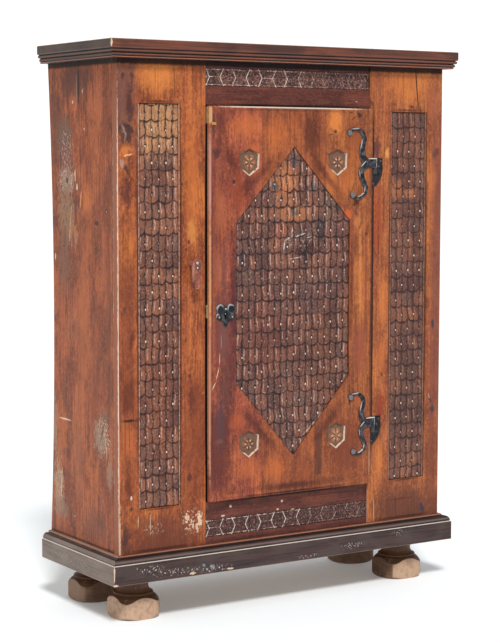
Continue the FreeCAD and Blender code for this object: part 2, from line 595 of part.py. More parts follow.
# -------------------------------------------------------------------------------------------------------------- hinges
def ribbon(points, y0, y1):
    """A flat forged bar of changing width along a centre line of (across, up, width) points."""
    line = Part.BSplineCurve()
    line.interpolate([V(x, 0, z) for x, z, _ in points])
    stations = [line.parameter(V(x, 0, z)) for x, z, _ in points]
    left, right = [], []
    for (x, z, width), station in zip(points, stations):
        along = line.tangent(station)[0]
        across = V(-along.z, 0, along.x).normalize() * (width / 2)
        left.append(V(x, 0, z) + across)
        right.append(V(x, 0, z) - across)
    sides = []
    for edge in (left, right[::-1]):
        curve = Part.BSplineCurve()
        curve.interpolate(edge)
        sides.append(curve.toShape())
    wire = Part.Wire([sides[0], Part.makeLine(left[-1], right[-1]), sides[1], Part.makeLine(right[0], left[0])])
    face = Part.Face(wire)
    face.translate(V(0, y0, 0))
    return face.extrude(V(0, y1 - y0, 0))


def leaf_blank(level, unit):
    """One hinge leaf: the eye round the pin, the strap, two scrolls and their knobs."""
    low, high = level - EYE_HEIGHT / 2, level + EYE_HEIGHT / 2
    eye = rod(EYE_RADIUS, V(HINGE_X, HINGE_Y, low), V(HINGE_X, HINGE_Y, high))
    waist = EYE_HEIGHT * 0.42
    strap = plate((HINGE_X, low),
                  [(HINGE_X, high), (HINGE_X - STRAP_LENGTH * 0.5, high), (HINGE_X - STRAP_LENGTH, level + waist),
                   (HINGE_X - STRAP_LENGTH, level - waist), (HINGE_X - STRAP_LENGTH * 0.4, low)],
                  LEAF_FACE_Y, DOOR_FACE_Y)
    solid = eye.fuse(strap)
    for scroll in (SCROLL_UP, SCROLL_DOWN):
        path = [(HINGE_X + x * unit, level + z * unit, width * unit) for x, z, width in scroll]
        bar = ribbon(path, LEAF_FACE_Y, DOOR_FACE_Y)
        x, z, _ = path[-1]
        knob = rod(SCROLL_KNOB_RADIUS, V(x, DOOR_FACE_Y - SCROLL_KNOB_HEIGHT, z), V(x, DOOR_FACE_Y, z))
        rim = [e for e in knob.Edges if e.BoundBox.YMax < DOOR_FACE_Y - SCROLL_KNOB_HEIGHT / 2]
        solid = solid.fuse(bar).fuse(knob.makeFillet(SCROLL_KNOB_HEIGHT * 0.4, rim))
    bore = rod(PIN_RADIUS + PIN_CLEARANCE, V(HINGE_X, HINGE_Y, low - CUT_PAST), V(HINGE_X, HINGE_Y, high + CUT_PAST))
    return solid.cut(bore).removeSplitter()


def leaf_nails(level, unit):
    """Three nails through a leaf into the door: one in the strap, and one at the third station of each scroll."""
    places = [(-STRAP_LENGTH * 0.9, STRAP_NAIL_RISE)]
    places += [(scroll[2][0] * unit, scroll[2][1] * unit) for scroll in (SCROLL_UP, SCROLL_DOWN)]
    return [nail(HINGE_X + x, LEAF_FACE_Y, level + z, 1) for x, z in places]


def pintle_blank(level):
    """The fixed half: a pin on a boss, held off the front board by a plate with a long tapering tail."""
    low = level - EYE_HEIGHT / 2 - BOSS_CLEARANCE
    high = level + EYE_HEIGHT / 2
    plate_y = FRONT_Y - PINTLE_PLATE_THICKNESS
    inner = HINGE_X - PIN_RADIUS
    outer = HINGE_X + PINTLE_PLATE_REACH
    foot_z = level - PINTLE_TAIL_LENGTH
    tail = plate((inner, high), [(outer, high), (outer, level - EYE_HEIGHT * 0.1),
                                 ((outer - PINTLE_PLATE_REACH * 0.15, level - EYE_HEIGHT * 1.45),
                                  (inner + EYE_RADIUS * 1.6, foot_z)), (inner, foot_z)], plate_y, FRONT_Y)
    pin = rod(PIN_RADIUS, V(HINGE_X, HINGE_Y, low), V(HINGE_X, HINGE_Y, high + PIN_RISE))
    boss = rod(EYE_RADIUS, V(HINGE_X, HINGE_Y, low - BOSS_HEIGHT), V(HINGE_X, HINGE_Y, low))
    neck = block(HINGE_X - PIN_RADIUS, HINGE_X + EYE_RADIUS, HINGE_Y, plate_y, low - BOSS_HEIGHT, low)
    return tail.fuse(neck).fuse(boss).fuse(pin).removeSplitter()


def pintle_nails(level):
    """Three nails through a pintle plate into the right front board."""
    outer = PINTLE_PLATE_REACH - NAIL_HEAD_RADIUS * 2
    places = ((outer, EYE_HEIGHT * 0.2), (outer - NAIL_HEAD_RADIUS * 2, -EYE_HEIGHT * 0.35),
              (EYE_RADIUS * 0.5, -PINTLE_TAIL_LENGTH + NAIL_HEAD_RADIUS * 2.5))
    face = FRONT_Y - PINTLE_PLATE_THICKNESS
    return [nail(HINGE_X + x, face, level + z, 1) for x, z in places]


# ---------------------------------------------------------------------------------------------------------------- lock
def keyhole(y0, y1):
    """The keyhole, from y0 to y1."""
    top = LOCK_LEVEL + KEYHOLE_RISE
    half = KEYHOLE_WIDTH / 2
    slot = block(LOCK_X - half, LOCK_X + half, y0, y1, LOCK_LEVEL - KEYHOLE_DROP, top)
    return rod(KEYHOLE_RADIUS, V(LOCK_X, y0, top), V(LOCK_X, y1, top)).fuse(slot)


def escutcheon():
    """The forged plate round the keyhole, scrolled above and drawn down to a tongue."""
    right = [V(LOCK_X + x, 0, LOCK_LEVEL + z) for x, z in ESCUTCHEON_HALF]
    left = [V(LOCK_X - x, 0, LOCK_LEVEL + z) for x, z in ESCUTCHEON_HALF[::-1]]
    edges = []
    for points in (right, left):
        curve = Part.BSplineCurve()
        curve.interpolate(points)
        edges.append(curve.toShape())
    face = Part.Face(Part.Wire(edges))
    face.translate(V(0, DOOR_FACE_Y - ESCUTCHEON_THICKNESS, 0))
    front = DOOR_FACE_Y - ESCUTCHEON_THICKNESS - CUT_PAST
    return face.extrude(V(0, ESCUTCHEON_THICKNESS, 0)).cut(keyhole(front, DOOR_FACE_Y + CUT_PAST))


def escutcheon_nails():
    """Nails that hold the escutcheon, one in the notch above and one in each lower lobe."""
    x, z = ESCUTCHEON_HALF[6]
    places = ((0, ESCUTCHEON_HALF[0][1] - NAIL_HEAD_RADIUS * 1.5), (-x * 0.7, z - NAIL_HEAD_RADIUS),
              (x * 0.7, z - NAIL_HEAD_RADIUS))
    face = DOOR_FACE_Y - ESCUTCHEON_THICKNESS
    length = LOCK_FRONT_Y - face - JOINT_CLEARANCE
    return [nail(LOCK_X + a, face, LOCK_LEVEL + b, 1, min(NAIL_LENGTH, length), NAIL_HEAD_RADIUS * 0.9)
            for a, b in places]


def lock_box(grow=0.0):
    """The outside of the lock case, or the space inside its walls when grow is minus the wall."""
    left = DOOR_LEFT + FOREND_THICKNESS
    half = LOCK_CASE_HEIGHT / 2 + grow
    return block(left - grow, left + LOCK_CASE_WIDTH + grow, LOCK_FRONT_Y - grow, LOCK_BACK_Y + grow,
                 LOCK_MIDDLE_Z - half, LOCK_MIDDLE_Z + half)


def bolt_way(x0, x1, gap):
    """The bolt's section between two places along its travel, with a gap all round."""
    return block(x0, x1, BOLT_Y - BOLT_THICKNESS / 2 - gap, BOLT_Y + BOLT_THICKNESS / 2 + gap,
                 BOLT_Z - BOLT_HEIGHT / 2 - gap, BOLT_Z + BOLT_HEIGHT / 2 + gap)


def key_pin():
    """The pin that a hollow key turns on, riveted into the back of the case."""
    z = LOCK_LEVEL + KEYHOLE_RISE
    return rod(KEY_PIN_RADIUS, V(LOCK_X, DOOR_FACE_Y, z), V(LOCK_X, LOCK_BACK_Y - LOCK_CASE_WALL + KEY_PIN_RIVET, z))


def lock_case():
    """The iron case let into the back of the door, open at the keyhole and where the bolt comes out."""
    shell = lock_box().cut(lock_box(-LOCK_CASE_WALL))
    shell = shell.cut(keyhole(LOCK_FRONT_Y - CUT_PAST, LOCK_FRONT_Y + LOCK_CASE_WALL + CUT_PAST))
    shell = shell.cut(bolt_way(DOOR_LEFT, DOOR_LEFT + FOREND_THICKNESS + LOCK_CASE_WALL + CUT_PAST, BOLT_CLEARANCE))
    return shell.cut(key_pin())


def forend_box():
    """The plate let into the closing edge of the door."""
    half = FOREND_HEIGHT / 2
    middle = (LOCK_FRONT_Y + DOOR_BACK_Y) / 2
    return block(DOOR_LEFT, DOOR_LEFT + FOREND_THICKNESS, middle - FOREND_WIDTH / 2,
                 min(middle + FOREND_WIDTH / 2, DOOR_BACK_Y), BOLT_Z - half, BOLT_Z + half)


def bolt_exit():
    """The way through the closing edge of the door that the bolt slides in."""
    return bolt_way(DOOR_LEFT - CUT_PAST, DOOR_LEFT + FOREND_THICKNESS + CUT_PAST, BOLT_CLEARANCE)


def lock_bolt():
    """The sliding bolt, drawn back into the door."""
    end = DOOR_LEFT + BOLT_REST
    return bolt_way(end, end + BOLT_LENGTH, 0)


def keep_box():
    """The plate let into the edge of the left front board."""
    half = KEEP_HEIGHT / 2
    return block(OPENING_LEFT - KEEP_THICKNESS, OPENING_LEFT, BOLT_Y - KEEP_WIDTH / 2, BOLT_Y + KEEP_WIDTH / 2,
                 BOLT_Z - half, BOLT_Z + half)


def bolt_mortise():
    """The hole that the thrown bolt enters, through the keep and into the left front board."""
    reach = BOLT_THROW - BOLT_REST - DOOR_GAP_LEFT + MORTISE_CLEARANCE * 5
    return bolt_way(OPENING_LEFT - reach, OPENING_LEFT + CUT_PAST, MORTISE_CLEARANCE)


# --------------------------------------------------------------------------------------------------------- turn-button
def turn_button():
    """The wooden turn-button, hanging down clear of the door, its round end about the pivot."""
    half, tip = BUTTON_WIDTH / 2, BUTTON_TIP_WIDTH / 2
    x, z = BUTTON_PIVOT_X, BUTTON_LEVEL
    foot_z = z - BUTTON_REACH
    solid = plate((x - half, z), [((x, z + half), (x + half, z)), (x + tip, foot_z + tip / 2),
                                  ((x, foot_z), (x - tip, foot_z + tip / 2))], BUTTON_FRONT_Y, BUTTON_BACK_Y)
    return solid.cut(rod(PIVOT_RADIUS + BUTTON_BORE_CLEARANCE, V(x, BUTTON_FRONT_Y - CUT_PAST, z), V(x, FRONT_Y, z)))


def button_spacer():
    """The round block that holds the button off the front board."""
    x, z = BUTTON_PIVOT_X, BUTTON_LEVEL
    disc = rod(SPACER_RADIUS, V(x, BUTTON_BACK_Y + JOINT_CLEARANCE, z), V(x, FRONT_Y, z))
    return disc.cut(rod(PIVOT_RADIUS, V(x, BUTTON_FRONT_Y, z), V(x, FRONT_Y + CUT_PAST, z)))


def pivot_nail():
    """The big nail that the button turns on."""
    face = BUTTON_FRONT_Y - PIVOT_HEAD_GAP
    return nail(BUTTON_PIVOT_X, face, BUTTON_LEVEL, 1, FRONT_Y - face + PIVOT_DEPTH, PIVOT_HEAD_RADIUS,
                PIVOT_HEAD_HEIGHT, PIVOT_RADIUS)


def button_pin():
    """A second pin, in the button only."""
    return nail(BUTTON_PIVOT_X, BUTTON_FRONT_Y, BUTTON_LEVEL - BUTTON_PIN_OFFSET, 1, BUTTON_THICKNESS * 0.8)


# ---------------------------------------------------------------------------------------------------------- assembly
def build_base():
    """Feet, corner blocks and plinth."""
    for end in ("front", "rear"):
        for side, hand in (("left", -1), ("right", 1)):
            save("foot_%s_%s" % (end, side), foot(hand * FOOT_X, FOOT_Y[end]))
            save("corner_block_%s_%s" % (end, side), corner_block(hand, end))
    for side in ("front", "left", "right"):
        save("plinth_%s" % side, moulding(plinth_section, side))


def build_case():
    """Sides, front boards, frieze rails, bottom, shelves, cleats, back, top and cornice."""
    hinge_work = [n for _, level, _ in HINGES for n in pintle_nails(level)]
    for side, hand in (("left", -1), ("right", 1)):
        save("side_%s" % side, side_board(hand))
        save("shelf_cleats_%s" % side, group(cleats(hand)))
    left = front_board(-1).cut(keep_box()).cut(bolt_mortise()).cut(pivot_nail())
    save("front_board_left", left)
    save("front_board_right", front_board(1).cut(group(hinge_work)))
    save("frieze_rail_top", frieze_rail(OPENING_HIGH, CARCASS_HIGH, OPENING_HIGH + FRIEZE_OFFSET))
    save("frieze_rail_bottom", frieze_rail(CARCASS_LOW, OPENING_LOW, OPENING_LOW - FRIEZE_OFFSET))

    nails = group(back_nails())
    save("back_nails", nails)
    for index in range(BACK_PLANKS):
        left_x, right_x = back_plank_span(index)
        plank = block(left_x, right_x, BACK_INSIDE_Y, BACK_FACE_Y, CARCASS_LOW, CARCASS_HIGH)
        save("back_plank_%d" % (index + 1), plank.cut(nails))
    save("bottom_board", shelf_board(BOTTOM_LEVEL, BOTTOM_THICKNESS, INSIDE_Y).cut(nails))
    for name, level in SHELVES:
        save("shelf_%s" % name, shelf_board(level, SHELF_THICKNESS, INSIDE_Y + SHELF_SETBACK).cut(nails))
    save("top_board", block(-SIDE_X, SIDE_X, FRONT_Y, BACK_Y, CARCASS_HIGH, CABINET_HEIGHT))
    for side in ("front", "left", "right"):
        save("cornice_%s" % side, moulding(cornice_section, side))


def build_door():
    """Planks, battens, dowels and hinges."""
    dowels = group(door_dowels())
    save("door_dowels", dowels)
    nails = group(batten_nails())
    save("batten_nails", nails)
    for end in ("top", "bottom"):
        save("door_batten_%s" % end, batten(end).cut(nails))
    hinge_nails = group([n for _, level, unit in HINGES for n in leaf_nails(level, unit)])
    save("hinge_nails", hinge_nails)
    plate_nails = group(escutcheon_nails())
    save("escutcheon_nails", plate_nails)
    lock_work = lock_box().fuse(keyhole(DOOR_FACE_Y - CUT_PAST, LOCK_FRONT_Y + CUT_PAST)).fuse(forend_box())
    lock_work = lock_work.fuse(bolt_exit())
    carving = [hexagon_field()] + shield_fields()
    for index, name in enumerate(("left", "middle", "right")):
        x0, x1 = plank_span(index)
        plank = block(x0, x1, DOOR_FACE_Y, DOOR_BACK_Y, DOOR_LOW, DOOR_HIGH)
        for tool in carving + chamfers() + [dowels, nails, hinge_nails, plate_nails]:
            plank = plank.cut(tool)
        if index == 0:
            plank = plank.cut(lock_work)
        save("door_plank_%s" % name, plank)
    save("escutcheon", escutcheon().cut(plate_nails))
    for name, level, unit in HINGES:
        save("hinge_leaf_%s" % name, leaf_blank(level, unit).cut(hinge_nails))
        save("pintle_%s" % name, pintle_blank(level).cut(group(pintle_nails(level))))
    save("pintle_nails", group([n for _, level, _ in HINGES for n in pintle_nails(level)]))


def build_lock_and_button():
    """Lock, keep and turn-button."""
    save("lock_case", lock_case())
    save("key_pin", key_pin())
    save("lock_bolt", lock_bolt())
    save("lock_forend", forend_box().cut(bolt_exit()))
    save("lock_keep", keep_box().cut(bolt_mortise()))
    pin = button_pin()
    save("turn_button", turn_button().cut(pin))
    save("button_pin", pin)
    save("button_spacer", button_spacer())
    save("pivot_nail", pivot_nail())


os.makedirs("parts", exist_ok=True)
build_base()
build_case()
build_door()
build_lock_and_button()
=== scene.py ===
"""Looks of the bonnetiere: carved relief, worn timber, forged iron, light and camera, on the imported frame.

Tables of places and sizes are in millimetres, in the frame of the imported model; meshes are in metres.
"""
from __future__ import annotations

import logging
import math
from dataclasses import dataclass, replace
from enum import Enum

import bmesh
import bpy
import numpy as np
from mathutils import Matrix, Vector

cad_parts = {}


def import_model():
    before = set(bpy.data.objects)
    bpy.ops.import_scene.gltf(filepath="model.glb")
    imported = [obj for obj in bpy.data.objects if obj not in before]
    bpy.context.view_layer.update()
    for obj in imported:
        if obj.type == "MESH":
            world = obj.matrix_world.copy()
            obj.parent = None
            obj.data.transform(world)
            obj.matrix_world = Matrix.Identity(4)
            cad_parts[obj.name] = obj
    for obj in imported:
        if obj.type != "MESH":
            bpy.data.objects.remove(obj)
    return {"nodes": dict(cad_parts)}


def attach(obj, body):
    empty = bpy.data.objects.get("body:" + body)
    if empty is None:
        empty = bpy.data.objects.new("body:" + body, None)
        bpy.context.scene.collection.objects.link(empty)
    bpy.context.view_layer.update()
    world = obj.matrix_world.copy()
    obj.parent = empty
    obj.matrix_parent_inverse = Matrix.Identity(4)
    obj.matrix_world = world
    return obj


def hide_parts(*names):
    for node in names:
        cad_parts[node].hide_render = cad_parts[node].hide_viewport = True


LOG = logging.getLogger("bonnetiere")
MM = 0.001
FAR = 1.0e6          # a reach in millimetres that means everywhere along that axis
GAP = 0.3            # a carved sheet stops this far short of the edges of its field, in millimetres
LIFT = 0.05          # its back stands this far off the ground of its field, in millimetres

Colour = tuple[float, float, float, float]
Shade = Colour | bpy.types.NodeSocket        # a plain colour, or the output that gives it
Triple = tuple[float, float, float]


def paint(red: int, green: int, blue: int) -> Colour:
    """Linear light of a colour given by its display values, 0 to 255."""
    shown = np.array([red, green, blue]) / 255.0
    linear = np.where(shown <= 0.04045, shown / 12.92, ((shown + 0.055) / 1.055) ** 2.4)
    return (*(float(v) for v in linear), 1.0)


# ------------------------------------------------------------------------------------------------- material tools
class Tone:
    """A number that varies over a surface: an output socket whose arithmetic adds Math nodes."""

    def __init__(self, recipe: Recipe, socket: bpy.types.NodeSocket) -> None:
        """Args: recipe: the material that the socket belongs to. socket: the output it stands for."""
        self.recipe = recipe
        self.socket = socket

    def _math(self, operation: str, *values: Tone | float) -> Tone:
        """One Math node on these values, in order."""
        made = self.recipe.node("Math", {"operation": operation}, dict(enumerate(values)))
        return Tone(self.recipe, made.outputs[0])

    def __add__(self, other: Tone | float) -> Tone:
        """Sum."""
        return self._math("ADD", self, other)

    def __sub__(self, other: Tone | float) -> Tone:
        """Difference."""
        return self._math("SUBTRACT", self, other)

    def __rsub__(self, other: Tone | float) -> Tone:
        """Difference from a plain number, so that 1 - mask works."""
        return self._math("SUBTRACT", other, self)

    def __mul__(self, other: Tone | float) -> Tone:
        """Product."""
        return self._math("MULTIPLY", self, other)

    def __truediv__(self, other: Tone | float) -> Tone:
        """Quotient."""
        return self._math("DIVIDE", self, other)

    def power(self, exponent: float) -> Tone:
        """This to a power."""
        return self._math("POWER", self, exponent)

    def size(self) -> Tone:
        """Distance from zero."""
        return self._math("ABSOLUTE", self)

    def wave(self) -> Tone:
        """Sine, with this in radians."""
        return self._math("SINE", self)

    def larger(self, other: Tone | float) -> Tone:
        """The larger of the two."""
        return self._math("MAXIMUM", self, other)

    def rise(self, low: float, high: float) -> Tone:
        """Smooth step from 0 where this is low to 1 where it is high."""
        made = self.recipe.node("MapRange", {"interpolation_type": "SMOOTHSTEP"},
                                {"Value": self, "From Min": low, "From Max": high})
        return Tone(self.recipe, made.outputs["Result"])

    def fall(self, low: float, high: float) -> Tone:
        """Smooth step from 1 where this is low to 0 where it is high."""
        return 1.0 - self.rise(low, high)


class Shape(Enum):
    """How a patch is bounded."""

    OVAL = "oval"
    BAND = "band"
    SPECKS = "specks"


@dataclass(frozen=True)
class Patch:
    """A place of another colour: middle, half sizes and lean, and how strong, torn and soft it is."""

    at: Triple
    reach: Triple
    colour: Colour
    strength: float = 0.7
    torn: float = 0.5
    soft: float = 0.5
    shape: Shape = Shape.OVAL
    lean: Triple = (0.0, 0.0, 0.0)       # degrees about each axis


def front(x: float, z: float, across: float, up: float, colour: Colour, strength: float = 0.7, torn: float = 0.5,
          soft: float = 0.6, lean: float = 0.0, shape: Shape = Shape.OVAL) -> Patch:
    """A patch seen from the front, through any depth; a lean in degrees tips its top to the right."""
    return Patch((x, 0, z), (across, FAR, up), colour, strength, torn, soft, shape, (0, lean, 0))


def strip(x0: float, x1: float, z0: float, z1: float, colour: Colour, strength: float = 0.7, torn: float = 0.3,
          soft: float = 0.4) -> Patch:
    """A rectangular patch seen from the front, between two corners."""
    middle, half = ((x0 + x1) / 2, 0, (z0 + z1) / 2), (abs(x1 - x0) / 2, FAR, abs(z1 - z0) / 2)
    return Patch(middle, half, colour, strength, torn, soft, Shape.BAND)


def streak(start: tuple[float, float], end: tuple[float, float], half: float, colour: Colour,
           strength: float = 0.8) -> Patch:
    """A narrow patch seen from the front, along the line between two points in x and z."""
    (x0, z0), (x1, z1) = sorted((start, end), key=lambda point: point[1])
    lean = math.degrees(math.atan2(x1 - x0, z1 - z0))
    return front((x0 + x1) / 2, (z0 + z1) / 2, half, math.hypot(x1 - x0, z1 - z0) * 0.6, colour, strength, 0.3, 0.5,
                 lean)


def flank(y: float, z: float, along: float, up: float, colour: Colour, strength: float = 0.7, torn: float = 0.5,
          soft: float = 0.6, lean: float = 0.0, shape: Shape = Shape.OVAL) -> Patch:
    """A patch seen from the left side, through any width; a lean in degrees tips its top to the front."""
    return Patch((0, y, z), (FAR, along, up), colour, strength, torn, soft, shape, (lean, 0, 0))


def belt(z0: float, z1: float, colour: Colour, strength: float, torn: float, soft: float) -> Patch:
    """A patch between two levels, all round."""
    return Patch((0, 0, (z0 + z1) / 2), (FAR, FAR, (z1 - z0) / 2), colour, strength, torn, soft, Shape.BAND)


def corner_line(x: float, y: float, wide: float, deep: float, colour: Colour, strength: float, torn: float,
                soft: float) -> Patch:
    """A patch at one place in x and y, through all levels, with its half sizes wide and deep."""
    return Patch((x, y, 0), (wide, deep, FAR), colour, strength, torn, soft, Shape.BAND)


class Recipe:
    """The nodes of one material, with the place on the object in millimetres as spot, x, y and z."""

    def __init__(self, name: str) -> None:
        """Args: name: the material's name."""
        self.material = bpy.data.materials.new(name)
        self.material.use_nodes = True
        self.tree = self.material.node_tree
        self.tree.nodes.clear()
        coordinates = self.node("TexCoord").outputs["Object"]
        self.spot = self.node("Mapping", {}, {"Vector": coordinates, "Scale": (1 / MM,) * 3}).outputs[0]
        apart = self.node("SeparateXYZ", {}, {"Vector": self.spot})
        self.axes = tuple(Tone(self, apart.outputs[i]) for i in range(3))
        self.x, self.y, self.z = self.axes

    def node(self, kind: str, settings: dict[str, object] | None = None,
             sockets: dict[str | int, object] | None = None) -> bpy.types.Node:
        """One node of any kind.

        Args:
            kind: the node's type, without its ShaderNode prefix.
            settings: its own settings, set before its sockets.
            sockets: the values or links of its input sockets, by name or number.

        Returns:
            The node.
        """
        made = self.tree.nodes.new("ShaderNode" + kind)
        for key, value in (settings or {}).items():
            setattr(made, key, value)
        for key, value in (sockets or {}).items():
            source = value.socket if isinstance(value, Tone) else value
            if isinstance(source, bpy.types.NodeSocket):
                self.tree.links.new(source, made.inputs[key])
            else:
                made.inputs[key].default_value = source
        return made

    def noise(self, stretch: Triple, seed: float = 0.0, detail: float = 2.0, roughness: float = 0.5) -> Tone:
        """Smooth noise about 0.5, with stretch in waves per millimetre along each axis."""
        where = self.node("Mapping", {}, {"Vector": self.spot, "Scale": stretch,
                                          "Location": (seed, seed * 1.71, seed * 2.37)})
        made = self.node("TexNoise", {}, {"Vector": where.outputs[0], "Scale": 1.0, "Detail": detail,
                                          "Roughness": roughness})
        return Tone(self, made.outputs[0])

    def attribute(self, name: str) -> Tone:
        """A number stored on the mesh."""
        made = self.node("Attribute", {"attribute_type": "GEOMETRY", "attribute_name": name})
        return Tone(self, made.outputs["Fac"])

    def mix(self, share: Tone | float, low: Shade, high: Shade) -> bpy.types.NodeSocket:
        """A colour between low and high, by share."""
        made = self.node("Mix", {"data_type": "RGBA", "blend_type": "MIX", "clamp_factor": True},
                         {0: share, 6: low, 7: high})
        return made.outputs[2]

    def mask(self, patch: Patch, ragged: Tone, speck: Tone) -> Tone:
        """Share of a patch here: its scaled distance from the middle, torn by noise, falls smoothly to its edge."""
        turn = tuple(math.radians(v) for v in patch.lean)
        place = self.node("Mapping", {"vector_type": "TEXTURE"}, {"Vector": self.spot, "Location": patch.at,
                                                                  "Rotation": turn, "Scale": patch.reach}).outputs[0]
        if patch.shape is Shape.BAND:
            plain = self.node("VectorMath", {"operation": "ABSOLUTE"}, {0: place}).outputs[0]
            apart = self.node("SeparateXYZ", {}, {"Vector": plain})
            near = [Tone(self, apart.outputs[i]) for i in range(3) if patch.reach[i] < FAR]
            distance = near[0]
            for other in near[1:]:
                distance = distance.larger(other)
        else:
            distance = Tone(self, self.node("VectorMath", {"operation": "LENGTH"}, {0: place}).outputs["Value"])
        if patch.torn:
            distance = distance + (ragged - 0.5) * (patch.torn * 2.0)
        share = distance.fall(1.0 - patch.soft, 1.0) * patch.strength
        return share * speck.rise(0.57, 0.63) if patch.shape is Shape.SPECKS else share

    def patches(self, colour: Shade, several: tuple[Patch, ...], seed: float) -> Shade:
        """The colour with patches laid over it in order."""
        ragged = self.noise((0.09, 0.09, 0.06), seed + 21.0, 4.0, 0.65)
        speck = self.noise((0.21, 0.21, 0.15), seed + 25.0, 1.5, 0.6)
        for patch in several:
            colour = self.mix(self.mask(patch, ragged, speck), colour, patch.colour)
        return colour

    def finish(self, colour: Shade, roughness: Tone, height: Tone, relief: float, metallic: float = 0.0,
               specular: float = 0.5) -> bpy.types.Material:
        """Closes the recipe with a Principled shader; height is bumped by relief, in millimetres."""
        bump = self.node("Bump", {}, {"Strength": 1.0, "Distance": relief * MM, "Height": height})
        shader = self.node("BsdfPrincipled", {}, {"Base Color": colour, "Roughness": roughness, "Metallic": metallic,
                                                  "Specular IOR Level": specular, "Normal": bump.outputs[0]})
        self.node("OutputMaterial", {}, {"Surface": shader.outputs[0]})
        return self.material


# ------------------------------------------------------------------------------------------------------- finishes
class Grain(Enum):
    """Which way the grain runs, and the axis it is seen across."""

    UPRIGHT = ("z", "x")
    UPRIGHT_SIDE = ("z", "y")
    LEVEL = ("x", "z")
    LEVEL_FLAT = ("x", "y")
    DEEP = ("y", "z")

    @property
    def along(self) -> int:
        """Number of the axis along the grain."""
        return "xyz".index(self.value[0])

    @property
    def across(self) -> int:
        """Number of the axis across the grain."""
        return "xyz".index(self.value[1])

    def stretch(self, across: float, along: float) -> Triple:
        """Noise scale that is fine across the grain and drawn out along it."""
        return tuple(along if i == self.along else across for i in range(3))


class Facing(Enum):
    """Which way the waxed face of a board looks: the axis, and the sign that is outwards."""

    FRONT = (1, -1)
    LEFT = (0, -1)
    RIGHT = (0, 1)


@dataclass(frozen=True)
class Knot:
    """A knot: its place across and along the grain, and its radius, in millimetres."""

    across: float
    along: float
    radius: float


